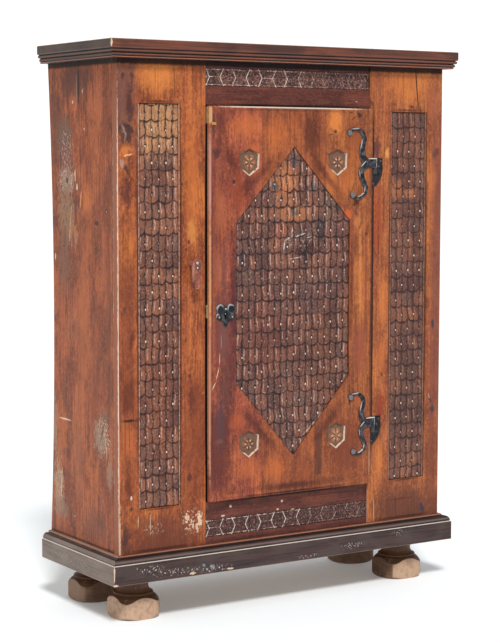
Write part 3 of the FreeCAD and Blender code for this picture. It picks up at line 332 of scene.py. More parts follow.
@dataclass(frozen=True)
class Timber:
    """A sawn board: growth rings cut by the face, veins, fibres, clouds of patina, knots, marks and a waxed face.

    The rings are sine waves of the distance from a pith line that lies under the face and tilts along the board, so
    that they come out as long tongues.
    """

    light: Colour
    body: Colour
    deep: Colour
    patina: Colour = paint(66, 32, 26)
    glow: Colour = paint(206, 122, 62)
    grain: Grain = Grain.UPRIGHT
    seed: float = 0.0
    pith: float = 0.0
    pith_depth: float = 40.0
    tilt: float = 0.06
    middle: float = 900.0
    ring: float = 9.0
    ring_show: float = 0.5
    cloudy: float = 0.6
    knots: tuple[Knot, ...] = ()
    patches: tuple[Patch, ...] = ()
    facing: Facing | None = None
    face: float = 0.0
    thick: float = 28.0
    bare: Colour = paint(168, 126, 88)
    rough: float = 0.46
    shine: float = 0.16

    def rings(self, recipe: Recipe) -> tuple[Tone, Tone | None]:
        """Growth rings, which swell round the knots, and the dark hearts of the knots."""
        across, along = recipe.axes[self.grain.across], recipe.axes[self.grain.along]
        wander = recipe.noise(self.grain.stretch(0.006, 0.0011), self.seed, 2.0) - 0.5
        depth = (along - self.middle) * self.tilt + (wander * 60.0 + self.pith_depth)
        aside = across - self.pith + wander * 90.0
        radius = (aside * aside + depth * depth).power(0.5)
        heart = None
        for knot in self.knots:
            du, dv = across - knot.across, (along - knot.along) * 0.75
            away = (du * du + dv * dv).power(0.5) / knot.radius
            radius = radius + away.fall(0.2, 3.6) * (knot.radius * 1.5)
            core = away.fall(0.55, 1.15)
            heart = core if heart is None else heart.larger(core)
        return (radius * (math.tau / self.ring)).wave().rise(0.0, 1.0), heart

    def figure(self, recipe: Recipe) -> tuple[Shade, Tone, Tone, Tone]:
        """Colour, fibre, rings and stain of the wood before its marks."""
        stretch = self.grain.stretch
        rings, heart = self.rings(recipe)
        shown = recipe.noise(stretch(0.014, 0.003), self.seed + 3.0, 2.0).rise(0.36, 0.66)
        streak = recipe.noise(stretch(0.05, 0.0022), self.seed + 5.0, 3.0, 0.6)
        vein = recipe.noise(stretch(0.13, 0.0045), self.seed + 7.0, 3.0, 0.6)
        fibre = recipe.noise(stretch(0.5, 0.016), self.seed + 9.0, 2.0, 0.6)
        mottle = recipe.noise(stretch(0.12, 0.07), self.seed + 27.0, 4.0, 0.72)
        pores = recipe.noise(stretch(0.2, 0.11), self.seed + 29.0, 4.0, 0.8)
        glow = recipe.noise(stretch(0.011, 0.005), self.seed + 11.0, 2.0, 0.5)
        cloud = recipe.noise(stretch(0.012, 0.0055), self.seed + 13.0, 3.0, 0.6)
        stain = recipe.noise(stretch(0.03, 0.013), self.seed + 17.0, 5.0, 0.66)
        colour = recipe.mix(streak.rise(0.36, 0.64), self.light, self.body)
        colour = recipe.mix(glow.rise(0.5, 0.66) * 0.75, colour, self.glow)
        colour = recipe.mix(vein.rise(0.48, 0.68) * 0.6, colour, self.deep)
        colour = recipe.mix(rings * shown * self.ring_show, colour, self.deep)
        colour = recipe.mix(cloud.rise(0.46, 0.6) * self.cloudy, colour, self.deep)
        colour = recipe.mix(stain.rise(0.51, 0.66) * self.cloudy, colour, self.patina)
        colour = recipe.mix(fibre.rise(0.46, 0.72) * 0.4, colour, self.patina)
        colour = recipe.mix(mottle.rise(0.51, 0.66) * (0.25 + self.cloudy * 0.5), colour, self.deep)
        colour = recipe.mix(mottle.fall(0.34, 0.47) * 0.5, colour, self.light)
        colour = recipe.mix(pores.rise(0.53, 0.64) * 0.55, colour, self.deep)
        colour = recipe.mix(pores.fall(0.36, 0.46) * 0.5, colour, self.glow)
        if heart is not None:
            colour = recipe.mix(heart * 0.85, colour, self.patina)
        return colour, fibre, rings, stain

    def faced(self, recipe: Recipe, colour: Shade, rough: Tone, fibre: Tone, rings: Tone) -> tuple[Shade, Tone]:
        """Colour and roughness where only the outward face is waxed and marked, and edges and back are bare."""
        axis, outward = self.facing.value
        inward = (recipe.axes[axis] - self.face) * float(-outward)
        hidden = inward.rise(7.0, 8.5)
        raw = recipe.mix(fibre.rise(0.4, 0.7) * 0.5, self.bare, self.deep)
        raw = recipe.mix(rings * 0.3, raw, self.body)
        colour = recipe.mix(hidden, colour, raw)
        rough = rough + hidden * 0.2
        colour = recipe.patches(colour, self.patches, self.seed)
        return recipe.mix(inward.rise(self.thick - 1.5, self.thick - 0.5), colour, raw), rough

    def material(self, name: str) -> bpy.types.Material:
        """The finished material."""
        recipe = Recipe(name)
        colour, fibre, rings, stain = self.figure(recipe)
        rough = fibre * 0.16 + (self.rough - 0.08)
        if self.facing is None:
            colour = recipe.patches(colour, self.patches, self.seed)
        else:
            colour, rough = self.faced(recipe, colour, rough, fibre, rings)
        swell = recipe.noise(self.grain.stretch(0.03, 0.006), self.seed + 31.0, 1.0)
        height = fibre * 0.2 + rings * 0.12 + stain * 0.35 + swell * 1.6
        return recipe.finish(colour, rough, height, 0.7, specular=self.shine)


@dataclass(frozen=True)
class CarvedTimber:
    """Chip-carved relief: dirt and painted shade in the hollows, bare wood and painted highlights on the lips, and
    one tone for each scale or stroke.
    """

    light: Colour
    body: Colour
    deep: Colour
    # hollow is laid where the relief stores dirt and painted shade, lip where it stores wear and painted highlights
    hollow: Colour
    lip: Colour
    lip_show: float = 0.8
    grey: Colour = paint(96, 88, 84)
    grey_show: float = 0.5
    seed: float = 0.0
    grain: Grain = Grain.UPRIGHT
    patches: tuple[Patch, ...] = ()
    rough: float = 0.48

    def material(self, name: str) -> bpy.types.Material:
        """The finished material; it reads the hollow, lip and tone stored on the relief."""
        recipe = Recipe(name)
        hollow, lip, tone = (recipe.attribute(word) for word in ("hollow", "lip", "tone"))
        fibre = recipe.noise(self.grain.stretch(0.42, 0.03), self.seed, 3.0, 0.65)
        ragged = recipe.noise((0.16, 0.16, 0.1), self.seed + 7.0, 4.0, 0.7)
        broad = recipe.noise((0.016, 0.016, 0.009), self.seed + 11.0, 3.0, 0.6)
        colour = recipe.mix((tone * 0.9 + ragged * 0.9 - 0.4).rise(0.1, 0.9), self.body, self.light)
        colour = recipe.mix((ragged * 0.7 + (1.0 - tone) * 0.5).rise(0.52, 0.8) * self.grey_show, colour, self.grey)
        colour = recipe.mix(broad.rise(0.44, 0.6) * 0.7, colour, self.deep)
        colour = recipe.patches(colour, self.patches, self.seed)
        chips = recipe.noise((0.24, 0.24, 0.15), self.seed + 15.0, 4.0, 0.75)
        colour = recipe.mix(fibre.rise(0.44, 0.66) * 0.5, colour, self.deep)
        colour = recipe.mix(chips.rise(0.53, 0.66) * 0.6, colour, self.hollow)
        colour = recipe.mix(chips.fall(0.34, 0.46) * 0.4, colour, self.lip)
        # lip: pale worn wood and painted highlights; hollow, below: dirt and painted shade
        worn = (lip + (ragged - 0.5) * 1.8).rise(0.4, 0.95) * self.lip_show
        colour = recipe.mix(worn, colour, self.lip)
        colour = recipe.mix((hollow + (ragged - 0.5) * 1.7).rise(0.25, 0.9) * 0.95, colour, self.hollow)
        rough = ragged * 0.2 + (self.rough - 0.1) + hollow * 0.15
        return recipe.finish(colour, rough, fibre * 0.3 + ragged * 1.2, 0.7, specular=0.2)


@dataclass(frozen=True)
class Seam:
    """A level of a moulding: from low to high in millimetres, its colour and how much of it shows."""

    low: float
    high: float
    colour: Colour
    strength: float = 0.8
    soft: float = 0.8


@dataclass(frozen=True)
class DarkMoulding:
    """Dark stained moulding, with its members picked out by level and its arrises worn to bare wood."""

    body: Colour
    warm: Colour
    dull: Colour
    seams: tuple[Seam, ...]
    patches: tuple[Patch, ...] = ()
    seed: float = 0.0
    turn: Grain = Grain.LEVEL
    rough: float = 0.42

    def material(self, name: str) -> bpy.types.Material:
        """The finished material."""
        recipe = Recipe(name)
        streak = recipe.noise(self.turn.stretch(0.16, 0.004), self.seed, 3.0, 0.6)
        cloud = recipe.noise((0.008, 0.008, 0.02), self.seed + 3.0, 3.0, 0.6)
        ragged = recipe.noise((0.05, 0.05, 0.25), self.seed + 6.0, 4.0, 0.7)
        colour = recipe.mix(streak.rise(0.35, 0.65), self.body, self.warm)
        colour = recipe.mix(cloud.rise(0.42, 0.64) * 0.7, colour, self.dull)
        for seam in self.seams:
            half = (seam.high - seam.low) / 2
            away = (recipe.z - (seam.high + seam.low) / 2).size() / half + (ragged - 0.5) * 0.7
            colour = recipe.mix(away.fall(1.0 - seam.soft, 1.1) * seam.strength, colour, seam.colour)
        colour = recipe.patches(colour, self.patches, self.seed)
        height = streak * 0.4 + ragged * 0.5
        return recipe.finish(colour, ragged * 0.2 + (self.rough - 0.1), height, 0.5, specular=0.3)


@dataclass(frozen=True)
class TurnedFoot:
    """A foot: dark stain on the turned part, and pale worn wood where the rounded square of the stock is left.

    Its section is a square of half width core grown by a round of radius corner, so a point is on the square where
    its distance from the core is the corner's radius.
    """

    axis: tuple[float, float]
    core: float = 31.0
    corner: float = 38.0
    stain: Colour = paint(74, 58, 44)
    warm: Colour = paint(112, 76, 56)
    pale: Colour = paint(194, 162, 136)
    sawn: Colour = paint(162, 126, 102)
    grime: Colour = paint(46, 36, 30)
    show: tuple[float, float, float, float] = (1.0, 1.0, 1.0, 1.0)
    seed: float = 0.0

    def material(self, name: str) -> bpy.types.Material:
        """The finished material; show is how pale the faces towards -X, -Y, +X and +Y are."""
        recipe = Recipe(name)
        fibre = recipe.noise((0.35, 0.35, 0.04), self.seed, 3.0, 0.6)
        ragged = recipe.noise((0.05, 0.05, 0.05), self.seed + 4.0, 5.0, 0.68)
        turned = recipe.noise((0.01, 0.01, 0.3), self.seed + 8.0, 2.0)
        dark = recipe.mix(turned.rise(0.35, 0.65) * 0.8, self.stain, self.warm)
        dark = recipe.mix(ragged.rise(0.48, 0.62) * 0.5, dark, self.grime)
        bare = recipe.mix(fibre.rise(0.4, 0.7) * 0.5, self.pale, self.sawn)
        bare = recipe.mix(ragged.rise(0.48, 0.64) * 0.75, bare, self.sawn)
        across, deep = recipe.x - self.axis[0], recipe.y - self.axis[1]
        out_x, out_y = ((v.size() - self.core).larger(0.0) for v in (across, deep))
        reach = (out_x * out_x + out_y * out_y).power(0.5)
        square = (reach + (ragged - 0.5) * 1.5).rise(self.corner - 1.6, self.corner - 0.5)
        left, near, right, far = self.show
        by_x = across.rise(-4.0, 4.0) * (right - left) + left
        by_y = deep.rise(-4.0, 4.0) * (far - near) + near
        lean = (across.size() - deep.size()).rise(-7.0, 7.0)
        shown = lean * (by_x - by_y) + by_y
        line = recipe.noise((0.004, 0.004, 0.004), self.seed + 12.0, 2.0)
        low = (recipe.z + (line - 0.5) * 20.0).fall(22.0, 30.0) * reach.rise(self.corner - 8.0, self.corner - 3.0)
        colour = recipe.mix((ragged + recipe.z * -0.0012).rise(0.44, 0.58) * 0.4, dark, self.sawn)
        colour = recipe.mix(square.larger(low) * shown, colour, bare)
        rim = square * square.fall(0.55, 1.0)
        colour = recipe.mix(rim * shown * 2.0, colour, self.pale)
        ring = (recipe.z - 86.0).size().fall(3.0, 9.0) * 0.45
        colour = recipe.mix(ring, colour, self.warm)
        height = fibre * 0.4 + ragged * 0.9
        return recipe.finish(colour, ragged * 0.2 + square * 0.2 + 0.36, height, 0.6, specular=0.2)


@dataclass(frozen=True)
class ForgedIron:
    """Blackened forged iron: hammer-dulled, a little blue, rust in places, rubbed bright with a painted highlight
    where it stands proud, and a painted highlight along its arrises.
    """

    face: float
    proud: float = 4.0
    black: Colour = paint(26, 26, 29)
    blue: Colour = paint(58, 61, 70)
    rust: Colour = paint(58, 40, 34)
    bright: Colour = paint(198, 200, 206)
    bright_show: float = 0.35
    # strength of the painted highlight along the arrises, broken where worn
    edge_sheen_and_wear: float = 0.9
    patches: tuple[Patch, ...] = ()
    seed: float = 0.0

    def material(self, name: str) -> bpy.types.Material:
        """The finished material; face is the depth that the iron stands on, and its edges are just below its top."""
        recipe = Recipe(name)
        hammer = recipe.noise((0.07, 0.07, 0.07), self.seed, 2.0, 0.5)
        fine = recipe.noise((0.6, 0.6, 0.6), self.seed + 3.0, 3.0, 0.6)
        cloud = recipe.noise((0.03, 0.03, 0.02), self.seed + 6.0, 3.0, 0.6)
        colour = recipe.mix(hammer.rise(0.42, 0.7) * 0.55, self.black, self.blue)
        colour = recipe.mix(cloud.rise(0.52, 0.7) * 0.5, colour, self.rust)
        height = (recipe.y - self.face) * -1.0
        # proud parts are painted bright: rubbed iron, and a painted highlight on their tops
        out = (height / self.proud + (hammer - 0.5) * 0.9).rise(0.85, 1.5)
        # painted highlight: a band just under the top stands for light on the eased arrises, broken by cloud
        edge = height.rise(self.proud - 1.7, self.proud - 0.7) * height.fall(self.proud - 0.35, self.proud - 0.05)
        worn = edge * cloud.rise(0.3, 0.52) * self.edge_sheen_and_wear
        colour = recipe.mix((out * self.bright_show).larger(worn), colour, self.bright)
        colour = recipe.patches(colour, self.patches, self.seed)
        rough = fine * 0.16 + cloud * 0.16 + 0.26
        return recipe.finish(colour, rough, hammer * 0.8 + fine * 0.15, 0.5, metallic=0.45, specular=0.4)


@dataclass(frozen=True)
class DullBrass:
    """Brass gone dull and brown in patches."""

    body: Colour = paint(232, 202, 136)
    brown: Colour = paint(168, 128, 78)

    def material(self, name: str) -> bpy.types.Material:
        """The finished material."""
        recipe = Recipe(name)
        cloud = recipe.noise((0.12, 0.12, 0.08), 2.0, 4.0, 0.6)
        fine = recipe.noise((0.9, 0.9, 0.2), 5.0, 2.0, 0.6)
        colour = recipe.mix(cloud.rise(0.45, 0.68) * 0.7, self.body, self.brown)
        return recipe.finish(colour, fine * 0.2 + cloud * 0.15 + 0.2, fine, 0.1, metallic=0.3)


@dataclass(frozen=True)
class PegWood:
    """End grain of the small pegs: pale where it is clean, brown where wax and dirt fill it."""

    pale: Colour = paint(222, 196, 176)
    brown: Colour = paint(112, 80, 66)

    def material(self, name: str) -> bpy.types.Material:
        """The finished material; it reads the tone stored on the pegs."""
        recipe = Recipe(name)
        tone = recipe.attribute("tone")
        speck = recipe.noise((0.7, 0.7, 0.7), 3.0, 2.0, 0.6)
        colour = recipe.mix((tone + (speck - 0.5) * 0.6).rise(0.1, 0.9), self.brown, self.pale)
        return recipe.finish(colour, speck * 0.2 + 0.4, speck, 0.2, specular=0.35)


# -------------------------------------------------------------------------------------------------------- meshes
def make_piece(name: str, points: np.ndarray, faces: list[np.ndarray], body: str, material: bpy.types.Material,
               tones: dict[str, np.ndarray] | None = None, smooth: bool = True) -> bpy.types.Object:
    """A mesh object from arrays, riding on a body.

    Args:
        name: the piece's name.
        points: vertices in metres, one row each.
        faces: arrays of vertex numbers, one face a row, each array with its own number of corners.
        body: the body that it rides on.
        material: its material.
        tones: numbers to store on the vertices, by name.
        smooth: whether its faces are shaded smooth.

    Returns:
        The object, at the origin.
    """
    corners = np.concatenate([group.reshape(-1) for group in faces]).astype(np.int32)
    counts = np.concatenate([np.full(len(group), group.shape[1]) for group in faces])
    starts = np.concatenate([[0], np.cumsum(counts)[:-1]]).astype(np.int32)
    mesh = bpy.data.meshes.new(name)
    mesh.vertices.add(len(points))
    mesh.vertices.foreach_set("co", points.astype(np.float32).reshape(-1))
    mesh.loops.add(len(corners))
    mesh.loops.foreach_set("vertex_index", corners)
    mesh.polygons.add(len(counts))
    mesh.polygons.foreach_set("loop_start", starts)
    mesh.update(calc_edges=True)
    mesh.validate()
    mesh.polygons.foreach_set("use_smooth", np.full(len(counts), smooth))
    for word, values in (tones or {}).items():
        stored = mesh.attributes.new(word, "FLOAT", "POINT")
        stored.data.foreach_set("value", values.astype(np.float32).reshape(-1))
    mesh.materials.append(material)
    piece = bpy.data.objects.new(name, mesh)
    bpy.context.scene.collection.objects.link(piece)
    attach(piece, body)
    LOG.info("%s: %d faces on %s", name, len(counts), body)
    return piece


def grid_faces(rows: int, columns: int) -> np.ndarray:
    """Quads of a grid of points, turned so that +column by +row points out."""
    corner = (np.arange(rows - 1)[:, None] * columns + np.arange(columns - 1)[None, :]).reshape(-1)
    return np.stack([corner, corner + 1, corner + columns + 1, corner + columns], axis=1)


def slab(x: np.ndarray, z: np.ndarray, y: np.ndarray, back: float) -> tuple[np.ndarray, list[np.ndarray]]:
    """A closed slab whose front is the surface y over a grid of x and z, and whose back is flat.

    Args:
        x: across, in millimetres, one row of the grid for each level.
        z: level, in millimetres.
        y: depth of the front, in millimetres.
        back: depth of the flat back, in millimetres.

    Returns:
        Vertices in metres, and the faces: front, rim and back.
    """
    rows, columns = x.shape
    number = np.arange(rows * columns).reshape(rows, columns)
    loop = np.concatenate([number[0, :-1], number[:-1, -1], number[-1, :0:-1], number[:0:-1, 0]])
    points = np.stack([x, y, z], axis=-1).reshape(-1, 3)
    behind = points[loop].copy()
    behind[:, 1] = back
    under = rows * columns + np.arange(len(loop))
    after, under_after = np.roll(loop, -1), np.roll(under, -1)
    rim = np.stack([after, loop, under, under_after], axis=1)
    return np.concatenate([points, behind]) * MM, [grid_faces(rows, columns), rim, under[::-1][None, :]]


def padded(values: np.ndarray, loop_length: int, fill: float) -> np.ndarray:
    """Stored numbers for a slab: the front's, then one fill value for every point of its back."""
    return np.concatenate([values.reshape(-1), np.full(loop_length, fill)])


class ScaleSalt(Enum):
    """What a toss settles about a scale or its peg, each with numbers of its own."""

    ASIDE = 1.0
    LEVEL = 2.0
    SAG = 3.0
    TONE = 4.0
    LIP = 5.0
    PEG_LOST = 6.0
    PEG_SIZE = 7.0
    PEG_TONE = 8.0
    SHADE = 9.0
    WEAR = 11.0
    DIRT = 13.0


class FriezeSalt(Enum):
    """What a toss settles about a frieze."""

    WOBBLE = 2.0
    PUNCH = 3.0
    TORN = 5.0


def toss(first: np.ndarray, second: np.ndarray, salt: Enum) -> np.ndarray:
    """A number from 0 to 1 that looks random but is the same for the same pair: the far digits of a sine."""
    return np.mod(np.sin(first * 12.9898 + second * 78.233 + salt.value * 37.719) * 43758.5453, 1.0)


def ridge(distance: np.ndarray, width: float | np.ndarray) -> np.ndarray:
    """A round ridge: 1 where the distance is 0, falling to about a third one width away."""
    return np.exp(-((distance / width) ** 2))


@dataclass(frozen=True)
class Lie:
    """How each point lies on its scale, in millimetres, and as shares from 0 to 1."""

    row: np.ndarray
    column: np.ndarray
    half: float                  # half the width of a scale
    away: np.ndarray             # across from the scale's centre line
    up: np.ndarray               # above the scale's own rim
    under: np.ndarray            # below the rim of the row above
    share: np.ndarray            # share of the way up from rim to rim
    over_dot: np.ndarray         # above the peg's hole
    ring: np.ndarray             # distance from the peg's hole, which is taller than wide
    rib: np.ndarray              # 1 on top of the scale's two ribs, 0 between them
    groove: np.ndarray           # 1 on the line between two scales

    def toss(self, salt: ScaleSalt) -> np.ndarray:
        """One number for each scale."""
        return toss(self.row, self.column, salt)

    def rib_toss(self, salt: ScaleSalt) -> np.ndarray:
        """One number for each rib of each scale."""
        return toss(self.row * 2 + (self.away > 0), self.column, salt)


@dataclass(frozen=True)
class Scales:
    """Rows of hanging scales, each lapping over the row below, with a peg in each.

    A point belongs to the highest row whose rim is at or below it.  A rim is a parabola about the scale's centre
    line.  Going up from its rim a scale sinks, until it is tucked under the rim of the row above.
    """

    centre: float            # a column of the even rows
    level: float             # dots of row 0, which is even
    pitch: float = 47.5
    row_pitch: float = 48.55
    drop: float = 22.0       # rim below its dots
    arc: float = 8.5         # rise of the rim from the middle of a scale to its edge
    tongue: float = 1.6      # how far the rim is nicked at each groove
    rim_height: float = 4.6
    tuck_height: float = 2.0
    rib: float = 2.3         # height of the two rounded ribs of a scale
    ceiling: float = 5.8     # no point stands higher than this
    sag: float = 4.0         # most that the rims of two scales differ
    hole_tall: float = 1.5   # height over width of a peg's hole
    stray_across: float = 2.4
    stray_up: float = 3.0

    def rows(self, low: float, high: float) -> np.ndarray:
        """Numbers of the rows that reach into these levels, from the top down."""
        first = math.ceil((high - self.level) / self.row_pitch) + 1
        last = math.floor((low - self.level) / self.row_pitch) - 1
        return np.arange(first, last - 1, -1)

    def dots(self, low: float, high: float, left: float, right: float) -> np.ndarray:
        """Centres of the pegs between these bounds, as rows of x, z, row and column."""
        rows = self.rows(low, high)
        columns = np.arange(math.floor((left - self.centre) / self.pitch) - 1,
                            math.ceil((right - self.centre) / self.pitch) + 2)
        row, column = np.meshgrid(rows, columns, indexing="ij")
        shift_x, shift_z = self.shift(row, column)
        x = self.centre + (column + (row % 2) * 0.5) * self.pitch + shift_x
        z = self.level + row * self.row_pitch + shift_z
        found = np.stack([x, z, row, column], axis=-1).reshape(-1, 4)
        inside = (found[:, 0] > left) & (found[:, 0] < right) & (found[:, 1] > low) & (found[:, 1] < high)
        return found[inside]

    def shift(self, row: np.ndarray, column: np.ndarray) -> tuple[np.ndarray, np.ndarray]:
        """How far each peg strays from the grid, across and up."""
        return ((toss(row, column, ScaleSalt.ASIDE) - 0.5) * self.stray_across,
                (toss(row, column, ScaleSalt.LEVEL) - 0.5) * self.stray_up)

    def lie(self, x: np.ndarray, z: np.ndarray) -> Lie:
        """How points lie on their scales; the grid is bent a little, as a hand would carve it."""
        rows = self.rows(float(z.min()), float(z.max()))
        half = self.pitch / 2
        bent_x = x + 1.5 * np.sin(z / 19.0 + x / 53.0) + 0.9 * np.sin(z / 7.3 + x / 31.0)
        bent_z = z + 1.1 * np.sin(x / 8.7 + z / 47.0) + 0.8 * np.sin(x / 3.9 + z / 61.0)
        rims, aside, columns = [], [], []
        for row in rows:
            start = self.centre + (row % 2) * half
            column = np.round((bent_x - start) / self.pitch)
            away = bent_x - (start + column * self.pitch)
            sag = (toss(np.full_like(x, row), column, ScaleSalt.SAG) - 0.5) * self.sag
            nick = self.tongue * (1 - np.abs(np.sin(away / half * math.pi)))
            rims.append(self.level + row * self.row_pitch - self.drop + sag + self.arc * (away / half) ** 2 + nick)
            aside.append(away)
            columns.append(column)
        rim = np.stack(rims)
        owner = np.clip((rim > bent_z[None]).sum(axis=0), 1, len(rows) - 1)

        def pick(stack: list[np.ndarray] | np.ndarray, index: np.ndarray) -> np.ndarray:
            """The value of each point's own row."""
            return np.take_along_axis(np.stack(stack), index[None], axis=0)[0]

        low, high = pick(rim, owner), pick(rim, owner - 1)
        away, column, row = pick(aside, owner), pick(columns, owner), rows[owner]
        up = np.clip(bent_z - low, 0.0, None)
        shift_x, shift_z = self.shift(row, column)
        over_dot = bent_z - (self.level + row * self.row_pitch + shift_z)
        return Lie(row=row, column=column, half=half, away=away, up=up, under=np.clip(high - bent_z, 0.0, None),
                   share=up / np.maximum(high - low, 1.0), over_dot=over_dot,
                   ring=np.hypot(away - shift_x, over_dot / self.hole_tall),
                   rib=np.abs(np.sin(away / half * math.pi)) ** 0.8, groove=ridge(half - np.abs(away), 2.0))

    def height(self, lie: Lie) -> np.ndarray:
        """Height over the ground: a slope from rim to tuck, two ribs, and cuts between, above and in them."""
        slope = self.tuck_height + (1 - lie.share) * (self.rim_height - self.tuck_height)
        middle = ridge(lie.away, 1.9) * np.clip(0.45 + lie.over_dot / 9.0, 0.3, 1.0)
        height = slope + (lie.toss(ScaleSalt.TONE) - 0.5) * 0.9
        height = height + self.rib * (lie.rib - 0.62) - 1.2 * lie.groove - 1.0 * middle
        height = height - 2.0 * ridge(lie.up, 1.3) - 1.8 * ridge(lie.ring, 4.0)
        return np.minimum(height, self.ceiling)

    def surface(self, x: np.ndarray, z: np.ndarray) -> dict[str, np.ndarray]:
        """Height over the ground in millimetres, and the hollow, lip and tone numbers, at each point; hollow holds
        painted shade and dirt, lip wear and painted highlights.
        """
        lie = self.lie(x, z)
        worn, dirty = lie.rib_toss(ScaleSalt.WEAR), lie.rib_toss(ScaleSalt.DIRT)
        # painted shade in the upper part of each peg's hole
        above_hole = ridge(lie.ring - 4.2, 1.9) * np.clip(0.6 + lie.over_dot / 9.0, 0.0, 1.0)
        # painted shadow under the rim of the row above
        shade = ridge(lie.under, 3.0 + 5.5 * lie.toss(ScaleSalt.SHADE))
        across = np.mod(lie.away, lie.half) / lie.half       # 0 at the left side of a rib, 1 at its right side
        # painted shade towards the right side of each rib, and at its left edge
        turned = np.clip((across - 0.55) / 0.45, 0.0, 1.0) ** 1.5 + np.clip((0.12 - across) / 0.12, 0.0, 1.0)
        # painted shade and dirt in the valleys between the ribs
        valley = ridge(np.minimum(across, 1 - across) * lie.half, 2.7)
        hollow = np.maximum.reduce([shade, (0.3 + 0.6 * dirty) * turned, 0.8 * above_hole,
                                    (0.75 + 0.25 * dirty) * valley])
        rim_lip = ridge(lie.up - 2.8, 1.8) * (0.1 + 0.7 * lie.toss(ScaleSalt.LIP)) * (0.4 + 0.6 * lie.rib)
        # painted highlight on the left flank of each rib
        flank_lit = ridge(across - 0.3, 0.1)
        lip = np.maximum(rim_lip, (0.3 + 0.7 * worn) * flank_lit * np.clip(lie.share * 3.0, 0.0, 1.0))
        tone = 0.5 + 0.35 * (lie.toss(ScaleSalt.TONE) - 0.5) + 0.35 * (worn - 0.5)
        return {"height": self.height(lie), "hollow": hollow, "lip": lip * (1 - lie.groove), "tone": tone}


@dataclass(frozen=True)
class PegDome:
    """The low dome of a peg, in millimetres: a quarter-circle profile turned in steps."""

    radius: float = 2.45
    rise: float = 1.6
    tip: float = 1.55            # height of its middle point
    tall: float = 1.45           # its height over its width, seen from the front
    sweep: float = 0.42 * math.pi
    around: int = 10
    rings: int = 4

    def mesh(self) -> tuple[np.ndarray, list[np.ndarray]]:
        """Points of the dome about its middle, and its faces: walls, cap and base."""
        turn = np.arange(self.around) * (math.tau / self.around)
        rise = np.linspace(0.0, self.sweep, self.rings)
        radius, depth = np.cos(rise) * self.radius, np.sin(rise) * self.rise
        x = (radius[:, None] * np.cos(turn)[None, :]).reshape(-1)
        z = (radius[:, None] * np.sin(turn)[None, :]).reshape(-1) * self.tall
        y = np.repeat(-depth, self.around)
        points = np.stack([np.append(x, 0.0), np.append(y, -self.tip), np.append(z, 0.0)], axis=1)
        here = np.arange(self.around)
        after = (here + 1) % self.around
        walls = [np.stack([here + low, after + low, after + low + self.around, here + low + self.around], axis=1)
                 for low in range(0, (self.rings - 1) * self.around, self.around)]
        top = (self.rings - 1) * self.around
        cap = np.stack([here + top, after + top, np.full(self.around, self.rings * self.around)], axis=1)
        return points, [np.concatenate(walls), cap, here[::-1][None, :]]


